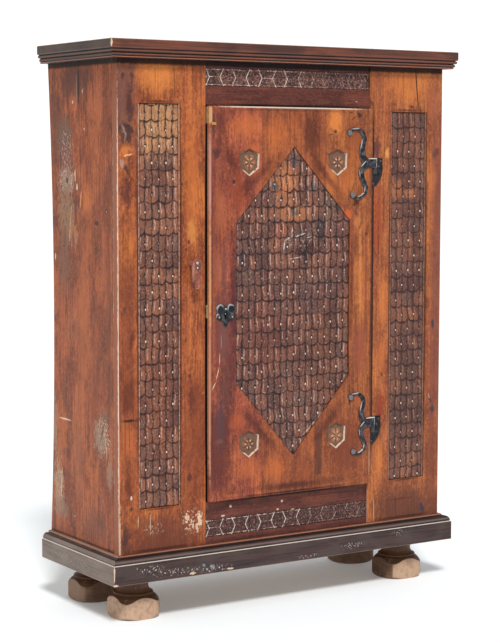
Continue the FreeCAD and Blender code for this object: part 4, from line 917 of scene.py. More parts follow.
@dataclass(frozen=True)
class Relief:
    """A piece of scale carving let into a sunk field, between two edges at every level.

    The front is a grid: levels go up evenly, and each row runs evenly from the left edge to the right one.
    """

    name: str
    body: str
    scales: Scales
    outline: tuple[tuple[float, float, float], ...]     # level, left and right edge
    ground: float                                       # depth of the field's ground along Y
    step: float = 2.15
    fillet: float = 0.0                                 # width of the plain fillet along the two sides
    fillet_height: float = 4.8
    bare_above: float = FAR                             # level above which no peg was set
    peg_margin: float = 4.0                             # least distance of a peg from the edges
    peg_depth: float = 2.1                              # height of a peg's foot over the ground
    pegs_lost: float = 0.06                             # share of the pegs that fell out
    border: float = 2.0                                 # the carving sinks towards its edges over this width

    def build(self, finish: bpy.types.Material, pegs: bpy.types.Material) -> None:
        """Makes the carved sheet and its pegs."""
        corners = np.array(self.outline)
        low, high = corners[0, 0], corners[-1, 0]
        rows = int((high - low) / self.step) + 1
        columns = int((corners[:, 2] - corners[:, 1]).max() / self.step) + 1
        level = np.linspace(low + GAP, high - GAP, rows)
        left = np.interp(level, corners[:, 0], corners[:, 1]) + GAP
        right = np.interp(level, corners[:, 0], corners[:, 2]) - GAP
        share = np.linspace(0.0, 1.0, columns)[None, :]
        x = left[:, None] * (1 - share) + right[:, None] * share
        z = np.repeat(level[:, None], columns, axis=1)
        made = self.scales.surface(x, z)
        edge = np.minimum.reduce([x - left[:, None], right[:, None] - x, z - low, high - z])
        height = made["height"] * np.clip(edge / self.border, 0.25, 1.0)
        hollow = np.maximum(made["hollow"], ridge(edge, self.border))
        lip = made["lip"]
        if self.fillet:
            side = np.minimum(x - left[:, None], right[:, None] - x)
            plain = 1.0 / (1.0 + np.exp((np.abs(side - self.fillet * 0.6) - self.fillet * 0.38) / 0.35))
            dip = ridge(side - self.fillet * 1.25, 1.1)
            height = height * (1 - plain) + self.fillet_height * plain - 1.6 * dip
            hollow = np.maximum(hollow * (1 - plain), dip)
            lip = np.maximum(lip * (1 - plain), 0.75 * plain)
        y = self.ground - np.clip(height, 0.35, None)
        points, faces = slab(x, z, y, self.ground - LIFT)
        rim = len(faces[1])
        tones = {"hollow": padded(hollow, rim, 1.0), "lip": padded(lip, rim, 0.0),
                 "tone": padded(made["tone"], rim, 0.5)}
        piece = make_piece(self.name, points, faces, self.body, finish, tones)
        "door_wood" if self.body == "door" else "board_wood"
        self._pegs(pegs, level, left, right)

    def _pegs(self, finish: bpy.types.Material, level: np.ndarray, left: np.ndarray, right: np.ndarray) -> None:
        """A dome in each punched hole, apart from those that fell out."""
        margin = self.peg_margin
        dots = self.scales.dots(level[0] + margin, level[-1] - margin, float(left.min()), float(right.max()))
        inside = (dots[:, 0] > np.interp(dots[:, 1], level, left) + margin) & (
            dots[:, 0] < np.interp(dots[:, 1], level, right) - margin) & (dots[:, 1] < self.bare_above)
        dots = dots[inside]
        dots = dots[toss(dots[:, 2], dots[:, 3], ScaleSalt.PEG_LOST) > self.pegs_lost]
        dome, groups = PegDome().mesh()
        grow = 0.85 + 0.35 * toss(dots[:, 2], dots[:, 3], ScaleSalt.PEG_SIZE)
        places = np.stack([dots[:, 0], np.full(len(dots), self.ground - self.peg_depth), dots[:, 1]], axis=1)
        points = (dome[None] * grow[:, None, None] + places[:, None, :]).reshape(-1, 3) * MM
        shift = (np.arange(len(dots)) * len(dome))[:, None, None]
        faces = [(group[None] + shift).reshape(-1, group.shape[1]) for group in groups]
        tone = np.repeat(0.25 + 0.75 * toss(dots[:, 2], dots[:, 3], ScaleSalt.PEG_TONE), len(dome))
        piece = make_piece(self.name + "_pegs", points, faces, self.body, finish, {"tone": tone})
        "door_wood" if self.body == "door" else "board_wood"


@dataclass(frozen=True)
class Frieze:
    """A band of hexagons in raised strokes: pairs of angled strokes, borders and a middle line, on punched ground."""

    name: str
    middle: float
    left: float = -304.0
    right: float = 313.0
    height: float = 54.0
    ground: float = -200.5
    opens: float = -251.0        # point of one stroke that opens to the right
    closes: float = -193.0       # point of one stroke that closes to the left
    pitch: float = 95.7
    lean: float = 13.0           # how far a stroke leans over half the height
    stroke: float = 1.5          # half width of the angled strokes
    border: float = 1.3          # half width of the borders and of the middle line
    inset: float = 4.0           # borders inside the edges of the band
    punch: float = 3.1           # size of a punch mark
    base: float = 0.7            # height of the ground between punch marks, and what stands on it
    stroke_height: float = 2.3
    punch_height: float = 0.5
    fade: float = 0.0            # where the pale wear along the band fades out
    step: float = 1.5

    def build(self, finish: bpy.types.Material) -> None:
        """Makes the band; the strokes' height falls with the distance from their centre lines."""
        rows, columns = int(self.height / self.step) + 1, int((self.right - self.left) / self.step) + 1
        half = self.height / 2
        x, z = np.meshgrid(np.linspace(self.left + GAP, self.right - GAP, columns),
                           np.linspace(self.middle - half + GAP, self.middle + half - GAP, rows))
        up = (z - self.middle) / half
        slope = math.hypot(1.0, self.lean / half)
        marks = []
        for start, sign in ((self.opens, 1.0), (self.closes, -1.0)):
            number = np.round((x - start - sign * self.lean * 0.5) / self.pitch)
            wobble = (toss(number, np.full_like(x, sign), FriezeSalt.WOBBLE) - 0.5) * 3.0
            line = start + number * self.pitch + wobble + sign * self.lean * np.abs(up)
            marks.append(np.abs(x - line) / slope)
        chevron = np.minimum(*marks)
        border = np.abs(np.abs(up) * half - (half - self.inset))
        rule = np.abs(z - self.middle + 0.8 * np.sin(x / 37.0))
        patchy = 0.5 + 0.5 * np.sin(x / 23.0 + 1.3) * np.sin(x / 61.0)
        torn = toss(np.floor(x / 8.0 + z / 31.0), np.floor(z / 9.0), FriezeSalt.TORN)
        strokes = np.maximum.reduce([ridge(chevron, self.stroke), (0.4 + 0.6 * torn) * ridge(border, self.border),
                                     0.8 * patchy * ridge(rule, self.border)])
        punch = toss(np.floor(x / self.punch), np.floor(z / self.punch), FriezeSalt.PUNCH)
        height = self.base + self.stroke_height * strokes + self.punch_height * punch * (1 - strokes)
        edge = np.minimum.reduce([x - self.left, self.right - x])
        height = height * np.clip(edge / 2.0, 0.3, 1.0)
        wear = 0.6 + 0.45 / (1.0 + np.exp((x - self.fade) / 22.0))
        hollow = np.clip((1 - strokes) * (0.05 + 0.95 * punch), 0.0, 1.0)
        lip = np.maximum(strokes * wear * (0.85 + 0.3 * torn), 0.75 * (punch > 0.95))
        points, faces = slab(x, z, self.ground - np.clip(height, 0.3, None), self.ground - LIFT)
        rim = len(faces[1])
        tones = {"hollow": padded(hollow, rim, 1.0), "lip": padded(lip, rim, 0.0),
                 "tone": padded(1.0 - punch, rim, 0.5)}
        make_piece(self.name, points, faces, "carcass", finish, tones)


@dataclass(frozen=True)
class Shield:
    """A small shield: a raised rim that follows the sunk outline, pale below and on the right as a painted highlight
    and dark on top and at the upper left as painted shade, and a six-petalled rosette inside.
    """

    name: str
    x: float
    z: float
    width: float = 74.0
    height: float = 86.0
    shoulder: float = 14.0       # corners of the top below its middle
    waist: float = 25.0          # start of the point above the foot
    taper: float = 2.0
    face: float = -224.5
    depth: float = 4.0
    rim_steps: int = 120         # steps along the rim, besides its corners
    profile: tuple[tuple[float, float], ...] = (     # the rim's section: inwards from the outline, and depth
        (0.3, 3.9), (0.3, 0.4), (1.2, -0.3), (2.6, 0.3), (5.8, 2.9), (6.1, 3.9))
    petals: float = 6.0
    around: int = 72
    rings: int = 12

    def outline(self) -> np.ndarray:
        """Corners of the sunk shield from its low point, anticlockwise seen from the front."""
        half, low, high = self.width / 2, -self.height / 2, self.height / 2
        right = [(half - self.taper, low + self.waist), (half, high - self.shoulder),
                 (half / 2, high - self.shoulder * 0.62)]
        left = [(-a, b) for a, b in right[::-1]]
        return np.array([(0.0, low)] + right + [(0.0, high)] + left)

    def build(self, rim_finish: bpy.types.Material, rosette_finish: bpy.types.Material) -> None:
        """Makes the rim, a low profile carried round the outline, and the rosette."""
        corners = self.outline()
        closed = np.concatenate([corners, corners[:1]])
        length = np.concatenate([[0.0], np.cumsum(np.hypot(*np.diff(closed, axis=0).T))])
        at = np.sort(np.concatenate([np.linspace(0, length[-1], self.rim_steps, endpoint=False), length[1:-1]]))
        path = np.stack([np.interp(at, length, closed[:, 0]), np.interp(at, length, closed[:, 1])], axis=1)
        profile = np.array(self.profile)
        reach = np.hypot(path[:, 0], path[:, 1])
        inward = 1.0 - profile[:, 0][None, :] / reach[:, None]
        x, z = path[:, 0][:, None] * inward, path[:, 1][:, None] * inward
        y = np.repeat(profile[:, 1][None, :], len(path), axis=0)
        points = np.stack([self.x + x, self.face + y, self.z + z], axis=-1).reshape(-1, 3) * MM
        across, around = len(profile), len(path)
        row = np.arange(around)[:, None]
        column = np.arange(across)[None, :]
        this, that = row * across + column, row * across + (column + 1) % across
        next_row = (row + 1) % around
        quads = np.stack([this, next_row * across + column, next_row * across + (column + 1) % across, that], axis=-1)
        # painted light: the rim is lit low and on the right, and shaded on top and at the upper left
        lit = np.maximum((x / self.width - 0.22) * 7.0, (-z / self.height - 0.2) * 9.0)
        top = np.clip((z / self.height - 0.3) * 12.0, 0.0, 1.0)
        lip = np.clip(lit, 0.1, 1.0) * (1 - top)
        dark = np.maximum(0.9 * top, np.clip((-x / self.width - 0.38) * 9.0, 0.0, 0.7) * (z > -self.height * 0.2))
        tones = {"hollow": dark, "lip": lip, "tone": np.full_like(x, 0.4)}
        rim = make_piece(self.name + "_rim", points, [quads.reshape(-1, 4)], "door", rim_finish, tones)
        self._rosette(rosette_finish)

    def _rosette(self, finish: bpy.types.Material) -> None:
        """Polar grid: height is a boss at the heart, then petals that crown and fall between their sides."""
        around, rings = self.around, self.rings
        turn = np.arange(around)[None, :] * (math.tau / around)
        share = (np.arange(rings)[:, None] + 1) / rings
        petal = np.abs(np.cos(turn * self.petals / 2))
        radius = share * (17.0 + 8.5 * petal ** 0.7)
        crown = np.sin(np.clip(share, 0, 1) ** 0.8 * math.pi)
        height = 0.5 + 2.6 * crown * petal ** 0.6 + 1.6 * ridge(radius, 4.5)
        height = np.where(share > 0.95, 0.25, height)
        x, z = self.x + radius * np.cos(turn), self.z + radius * np.sin(turn)
        ground = self.face + self.depth
        points = np.stack([x, ground - height, z], axis=-1).reshape(-1, 3)
        back = np.stack([x[-1], np.full(around, ground - LIFT), z[-1]], axis=1)
        heart = np.array([[self.x, ground - 2.3, self.z]])
        here, after = np.arange(around), (np.arange(around) + 1) % around
        walls = np.concatenate([np.stack([r * around + here, (r + 1) * around + here, (r + 1) * around + after,
                                          r * around + after], axis=1) for r in range(rings)])
        heart_number = (rings + 1) * around
        fan = np.stack([np.full(around, heart_number), here, after], axis=1)
        base = (rings * around + here)[::-1][None, :]
        hollow = np.clip(ridge(petal, 0.28) + 0.6 * ridge(radius - 7.0, 1.6), 0, 1)
        lip = np.clip(crown * petal - 0.35, 0, 1) * 1.2
        tones = {"hollow": np.concatenate([hollow.reshape(-1), np.ones(around), [0.0]]),
                 "lip": np.concatenate([lip.reshape(-1), np.zeros(around), [0.4]]),
                 "tone": np.full(heart_number + 1, 0.6)}
        piece = make_piece(self.name + "_rosette", np.concatenate([points, back, heart]) * MM,
                           [walls, fan, base], "door", finish, tones)


# ---------------------------------------------------------------------------------------------------- sub-assemblies
def dress(material: bpy.types.Material, *nodes: str) -> None:
    """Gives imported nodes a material, without touching their meshes."""
    for node in nodes:
        shown = FRAME["nodes"][node]
        if not shown.material_slots:
            shown.data.materials.append(None)
        for slot in shown.material_slots:
            slot.link = "OBJECT"
            slot.material = material
        LOG.info("%s: %s", node, material.name)


WELD = 0.00002                       # vertices nearer than this are one, in metres
FLAT = math.radians(1.0)             # faces that differ by less are one
SHARP = math.radians(35.0)           # edges sharper than this are eased


def eased(node: str, body: str, material: bpy.types.Material, width: float, segments: int = 2) -> None:
    """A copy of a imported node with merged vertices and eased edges, which stands for it.

    Args:
        node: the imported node.
        body: the body that it rides on.
        material: its material.
        width: width of the eased edges, in millimetres.
        segments: faces across each eased edge.
    """
    source = FRAME["nodes"][node]
    mesh = source.data.copy()
    mesh.name = node + "_worn"
    work = bmesh.new()
    work.from_mesh(mesh)
    bmesh.ops.remove_doubles(work, verts=work.verts, dist=WELD)
    bmesh.ops.dissolve_limit(work, angle_limit=FLAT, verts=work.verts, edges=work.edges)
    work.to_mesh(mesh)
    work.free()
    piece = bpy.data.objects.new(node + "_worn", mesh)
    bpy.context.scene.collection.objects.link(piece)
    mesh.materials.clear()
    mesh.materials.append(material)
    mesh.polygons.foreach_set("use_smooth", np.full(len(mesh.polygons), True))
    bevel = piece.modifiers.new("worn_edges", "BEVEL")
    bevel.width = width * MM
    bevel.segments = segments
    bevel.limit_method = "ANGLE"
    bevel.angle_limit = SHARP
    bevel.harden_normals = True
    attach(piece, body)
    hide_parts(node)
    LOG.info("%s: eased %.1f mm", node, width)


CREAM = paint(214, 190, 164)
SOOT = paint(38, 28, 26)
# painted shade in the quirks of the mouldings
DEEP_LINE = paint(22, 17, 19)        # the quirks of the mouldings
WORN_CORNER = paint(222, 196, 166)   # where a moulding's corner is rubbed to bare wood
# the dark band under the cornice is its painted shadow on what is below it
CORNICE_SHADE = (1675.0, 1713.0)     # levels darkened under the cornice
PLINTH_LINE = (214.0, 226.0)         # levels darkened over the plinth


@dataclass(frozen=True)
class FrontBoards:
    """The two carved boards beside the door."""

    face: float = -206.5
    left: tuple[float, float] = (-608.0, -304.0)
    right: tuple[float, float] = (313.0, 608.0)
    left_field: tuple[float, float, float, float] = (-538.0, -391.0, 347.0, 1565.0)
    right_field: tuple[float, float, float, float] = (399.0, 546.0, 347.0, 1553.0)
    low: float = 130.0
    high: float = 1730.0

    def outline_marks(self, bounds: tuple[float, float, float, float]) -> tuple[Patch, ...]:
        """Dark grime just outside the four edges of a sunk field."""
        x0, x1, z0, z1 = bounds
        grime = paint(70, 34, 26)
        return (strip(x0 - 6, x0 + 1, z0 - 4, z1 + 4, grime, 0.8, 0.3, 0.7),
                strip(x1 - 1, x1 + 5, z0 - 4, z1 + 4, grime, 0.7, 0.3, 0.7),
                strip(x0 - 6, x1 + 5, z1 - 1, z1 + 12, grime, 0.7, 0.6, 0.9),
                strip(x0 - 6, x1 + 5, z0 - 8, z0 + 1, grime, 0.7, 0.4, 0.8))

    def left_marks(self) -> tuple[Patch, ...]:
        """Wear of the left board, from its broad zones down to chips and scratches, with painted shade along the door
        gap and a painted shadow under the cornice.
        """
        x0, x1 = self.left
        burnt, orange, slate = paint(84, 40, 32), paint(218, 124, 60), paint(58, 44, 44)
        return (
            # broad zones
            front(-470, 1650, 120, 70, paint(222, 134, 66), 0.6, 0.5, 0.8),
            front(-350, 1320, 34, 320, paint(204, 112, 56), 0.5, 0.5, 0.8),
            front(-352, 1180, 22, 60, paint(214, 140, 72), 0.6, 0.6, 0.8),
            front(-345, 560, 60, 330, paint(120, 58, 40), 0.65, 0.6, 0.8),
            front(-576, 800, 50, 640, paint(112, 56, 42), 0.6, 0.5, 0.8),
            front(-450, 230, 190, 130, paint(100, 54, 42), 0.85, 0.5, 0.7),
            front(-585, 255, 24, 100, slate, 0.6, 0.7, 0.7),
            strip(x0 - 60, -520, 1380, 1760, paint(104, 70, 64), 0.8, 0.8, 0.7),
            # smudges and the swirled knot of the upper outer corner
            front(-588, 1640, 9, 16, paint(48, 28, 28), 0.6, 1.2, 0.8),
            front(-556, 1640, 9, 22, paint(56, 32, 30), 0.6, 1.2, 0.8),
            front(-566, 1560, 16, 70, paint(66, 38, 38), 0.7, 0.9, 0.6),
            front(-578, 1475, 30, 44, paint(50, 36, 38), 0.75, 1.4, 0.7),
            front(-584, 1484, 20, 5, paint(150, 128, 122), 0.7, 1.4, 0.5, 66),
            front(-580, 1466, 22, 4, paint(140, 118, 114), 0.6, 1.4, 0.5, 100),
            front(-578, 1424, 34, 20, paint(212, 122, 66), 0.65, 1.5, 0.7, -18),
            front(-572, 1412, 24, 4, paint(232, 170, 118), 0.75, 1.3, 0.5, -12),
            front(-590, 1384, 15, 16, paint(176, 146, 132), 0.6, 1.4, 0.6),
            front(-578, 1372, 24, 9, slate, 0.8, 1.2, 0.6, 70),
            front(-578, 1300, 26, 70, paint(80, 40, 42), 0.75, 1.0, 0.7),
            # stains down the outer edge, and the cross grain low on it
            front(-562, 1140, 12, 60, orange, 0.4, 0.8, 0.7),
            front(-588, 952, 11, 24, slate, 0.6, 1.0, 0.8),
            front(-560, 862, 9, 60, burnt, 0.6, 0.9, 0.8, 14), front(-548, 850, 6, 50, orange, 0.35, 0.8, 0.8, 14),
            strip(-600, -544, 626, 760, burnt, 0.6, 0.6, 0.7),
            strip(-600, -544, 500, 612, paint(196, 106, 62), 0.5, 0.6, 0.6),
            strip(-601, -543, 615, 625, paint(38, 22, 20), 0.85, 0.5, 0.5),
            strip(-586, -583, 500, 615, burnt, 0.8, 0.3, 0.6), strip(-571, -569, 520, 615, burnt, 0.8, 0.3, 0.6),
            front(-575, 420, 16, 60, burnt, 0.6, 0.8, 0.6),
            # a nail hole and stains beside the door
            front(-386, 1325, 3.5, 5, SOOT, 0.9, 0.2, 0.5), front(-362, 1150, 5, 9, burnt, 0.9, 0.8, 0.5),
            front(-372, 1128, 4, 6, burnt, 0.9, 0.8, 0.5),
            front(-334, 1440, 6, 40, paint(150, 76, 48), 0.6, 0.8, 0.6),
            front(-360, 430, 10, 18, burnt, 0.8, 0.6, 0.5), front(-330, 905, 7, 46, burnt, 0.55, 0.8, 0.6),
            front(-352, 660, 14, 60, burnt, 0.5, 1.0, 0.6),
            *self.outline_marks(self.left_field),
            # cracks over the field
            front(-413, 1629, 1.4, 62, SOOT, 0.9, 0.1, 0.5), front(-478, 1640, 1.0, 48, burnt, 0.8, 0.2, 0.6),
            # the board's two edges and its end
            strip(x0 - 1, x0 + 3.6, 130, 1690, paint(230, 198, 178), 0.95, 0.3, 0.4),
            strip(x0 - 1, x0 + 8, 130, 360, paint(206, 178, 158), 0.75, 0.9, 0.5),
            strip(x1 - 3, x1 + 1, 349, 1690, paint(160, 122, 100), 0.6, 0.5, 0.6),
            # painted shade: a near-black line where the board meets the gap by the door
            strip(x1 - 2.4, x1 + 1, 349, 1556, paint(22, 12, 12), 0.95, 0.15, 0.4),
            corner_line(x0, -192.5, 1.4, 15.5, paint(152, 86, 60), 0.93, 0.5, 0.3),
            corner_line(x0, -177.5, 1.6, 2.2, paint(40, 24, 22), 0.9, 0.2, 0.5),
            # flaked places under the field
            front(-362, 300, 34, 40, CREAM, 0.8, 0.6, 0.6, shape=Shape.SPECKS),
            front(-490, 285, 50, 26, paint(196, 170, 150), 0.45, 0.6, 0.7, shape=Shape.SPECKS),
            front(-326, 296, 9, 24, CREAM, 0.9, 1.8, 0.3), front(-336, 270, 10, 12, CREAM, 0.7, 2.0, 0.4),
            front(-372, 306, 9, 7, CREAM, 0.8, 2.0, 0.4),
            front(-350, 292, 46, 46, paint(226, 196, 172), 0.8, 0.5, 0.6, shape=Shape.SPECKS),
            front(-541, 310, 2.0, 22, CREAM, 0.7, 1.2, 0.5), front(-499, 300, 2.2, 40, CREAM, 0.5, 1.2, 0.5),
            front(-564, 385, 4, 7, CREAM, 0.85, 0.8, 0.4), front(-564, 352, 7, 9, slate, 0.8, 0.5, 0.5),
            # painted shadow: a dark band under the cornice
            strip(x0 - 300, x1 + 300, *CORNICE_SHADE, paint(16, 9, 9), 0.92, 0.2, 0.45),
            strip(x0, x1, *PLINTH_LINE, paint(50, 28, 24), 0.7, 0.4, 0.8))

    def right_marks(self) -> tuple[Patch, ...]:
        """Wear of the right board, with the painted shadow of the door beside it and of the cornice above."""
        x0, x1 = self.right
        burnt, orange, slate, violet = paint(88, 42, 34), paint(214, 124, 62), paint(58, 54, 62), paint(92, 54, 56)
        return (
            # broad zones
            front(460, 1640, 130, 80, paint(206, 120, 60), 0.5, 0.5, 0.8),
            front(575, 1580, 30, 90, paint(176, 100, 66), 0.5, 0.5, 0.8),
            front(470, 240, 190, 140, paint(92, 54, 44), 0.85, 0.5, 0.7),
            strip(552, 660, 260, 1760, paint(120, 68, 60), 0.7, 0.4, 0.6),
            front(580, 380, 34, 200, paint(112, 62, 48), 0.65, 0.6, 0.8),
            # streaks beside the door
            front(342, 1440, 20, 50, violet, 0.85, 0.7, 0.6),
            front(384, 1420, 11, 26, paint(226, 150, 78), 0.85, 0.5, 0.7),
            front(350, 1200, 22, 150, paint(160, 70, 44), 0.6, 0.9, 0.6),
            front(372, 1240, 5, 120, burnt, 0.5, 1.0, 0.6), front(352, 1130, 4, 90, burnt, 0.6, 1.0, 0.6),
            front(372, 940, 24, 130, orange, 0.5, 0.6, 0.8),
            front(368, 760, 24, 90, paint(190, 104, 58), 0.5, 0.6, 0.8),
            front(362, 600, 26, 60, paint(134, 54, 38), 0.75, 0.8, 0.6),
            front(364, 420, 22, 90, orange, 0.6, 0.6, 0.8), front(342, 250, 1.6, 60, CREAM, 0.55, 0.5, 0.5),
            # knots down the outer edge
            front(584, 1421, 17, 22, violet, 0.75, 0.9, 0.6), front(572, 1330, 24, 60, orange, 0.3, 0.8, 0.7),
            front(588, 1159, 7, 8, paint(104, 76, 70), 0.6, 0.6, 0.5),
            front(585, 1086, 8, 11, paint(96, 62, 54), 0.7, 0.6, 0.5),
            front(588, 955, 7, 9, paint(112, 92, 86), 0.75, 0.7, 0.5), front(588, 958, 2.5, 3, SOOT, 0.8, 0.3, 0.5),
            front(580, 856, 7.5, 19, slate, 0.9, 0.35, 0.4),
            front(586, 860, 2, 16, paint(120, 100, 94), 0.6, 0.4, 0.5),
            # scars low down, and stains over and under the field
            front(570, 606, 22, 7, slate, 0.75, 1.2, 0.5, 60),
            front(566, 616, 14, 4, paint(190, 134, 100), 0.7, 1.0, 0.5, 66),
            front(581, 572, 12, 15, slate, 0.8, 0.8, 0.5), front(543, 240, 22, 11, slate, 0.85, 1.1, 0.5, 70),
            front(452, 280, 60, 6, burnt, 0.6, 1.0, 0.6), front(430, 260, 8, 36, burnt, 0.5, 0.9, 0.6),
            front(484, 1570, 12, 8, burnt, 0.8, 1.1, 0.5),
            front(425, 1650, 3, 60, paint(150, 78, 44), 0.6, 0.5, 0.6),
            front(448, 1640, 2, 70, paint(140, 70, 42), 0.6, 0.5, 0.6),
            *self.outline_marks(self.right_field),
            # the crack over the field, the shade behind the hinges and the edges
            front(502, 1640, 2.8, 90, SOOT, 0.95, 0.15, 0.4, -6),
            # painted shadow of the proud door on the board beside it
            strip(x0 - 1, 334.5, 345, 1690, paint(42, 21, 22), 0.93, 0.2, 0.35),
            strip(x0 - 1, x0 + 4, 130, 345, paint(140, 118, 112), 0.6, 0.5, 0.6),
            strip(x1 - 3, x1 + 1, self.low, self.high, paint(150, 108, 84), 0.5, 0.5, 0.6),
            # painted shadow: a dark band under the cornice
            strip(x0 - 300, x1 + 300, *CORNICE_SHADE, paint(16, 9, 9), 0.92, 0.2, 0.45),
            strip(x0, x1, *PLINTH_LINE, paint(50, 28, 24), 0.7, 0.4, 0.8))

    def dress(self) -> None:
        """Gives both boards their timber."""
        left = Timber(
            light=paint(194, 110, 62), body=paint(160, 85, 52), deep=paint(106, 52, 38), glow=paint(212, 124, 60),
            seed=3.0, pith=-352.0, pith_depth=24.0, tilt=0.05, middle=1500.0, ring=10.0, ring_show=0.45, cloudy=0.5,
            facing=Facing.FRONT, face=self.face, knots=(Knot(-360.0, 742.0, 6.0),), patches=self.left_marks())
        dress(left.material("timber_front_left"), "front_board_left")
        right = Timber(
            light=paint(190, 112, 66), body=paint(160, 88, 56), deep=paint(108, 56, 42), glow=paint(206, 122, 62),
            seed=11.0, pith=470.0, pith_depth=30.0, tilt=0.045, middle=300.0, ring=9.0, ring_show=0.4, cloudy=0.45,
            facing=Facing.FRONT, face=self.face, knots=(Knot(370.0, 700.0, 5.0),), patches=self.right_marks())
        dress(right.material("timber_front_right"), "front_board_right")

    def field_marks(self) -> tuple[Patch, ...]:
        """Zones of the two carved fields: paler and warmer above, darker below."""
        return (
            front(-464, 1520, 130, 160, paint(204, 148, 100), 0.8, 0.7, 0.9),
            front(-500, 1440, 30, 40, paint(214, 150, 98), 0.55),
            front(-464, 700, 90, 300, paint(128, 72, 52), 0.6, 0.7, 0.8),
            front(-464, 1200, 90, 200, paint(140, 92, 72), 0.5, 0.7, 0.8),
            front(470, 1450, 90, 100, paint(126, 76, 56), 0.5, 0.7, 0.8),
            front(430, 1300, 34, 44, paint(188, 110, 66), 0.6),
            front(480, 1290, 30, 26, paint(198, 126, 78), 0.5),
            front(475, 620, 90, 260, paint(92, 66, 58), 0.6, 0.7, 0.8))

    def carve(self, finish: CarvedTimber, pegs: bpy.types.Material) -> None:
        """Fills both sunk fields with scales, the right one in duller tones."""
        for name, bounds, scales in (("scales_left", self.left_field, Scales(centre=-464.5, level=855.0)),
                                     ("scales_right", self.right_field, Scales(centre=476.0, level=1426.0))):
            x0, x1, z0, z1 = bounds
            relief = Relief(name, "carcass", scales, ((z0, x0, x1), (z1, x0, x1)), self.face + 6.0, step=1.9,
                            fillet=6.0, bare_above=z1 - 70.0)
            own = replace(finish, light=paint(164, 104, 74), body=paint(128, 76, 58), patches=self.field_marks())
            if name == "scales_right":
                own = replace(own, light=paint(146, 92, 68), body=paint(116, 70, 56), hollow=paint(54, 38, 38),
                              lip=paint(166, 132, 112), lip_show=0.6)
            relief.build(own.material("carving_" + name), pegs)


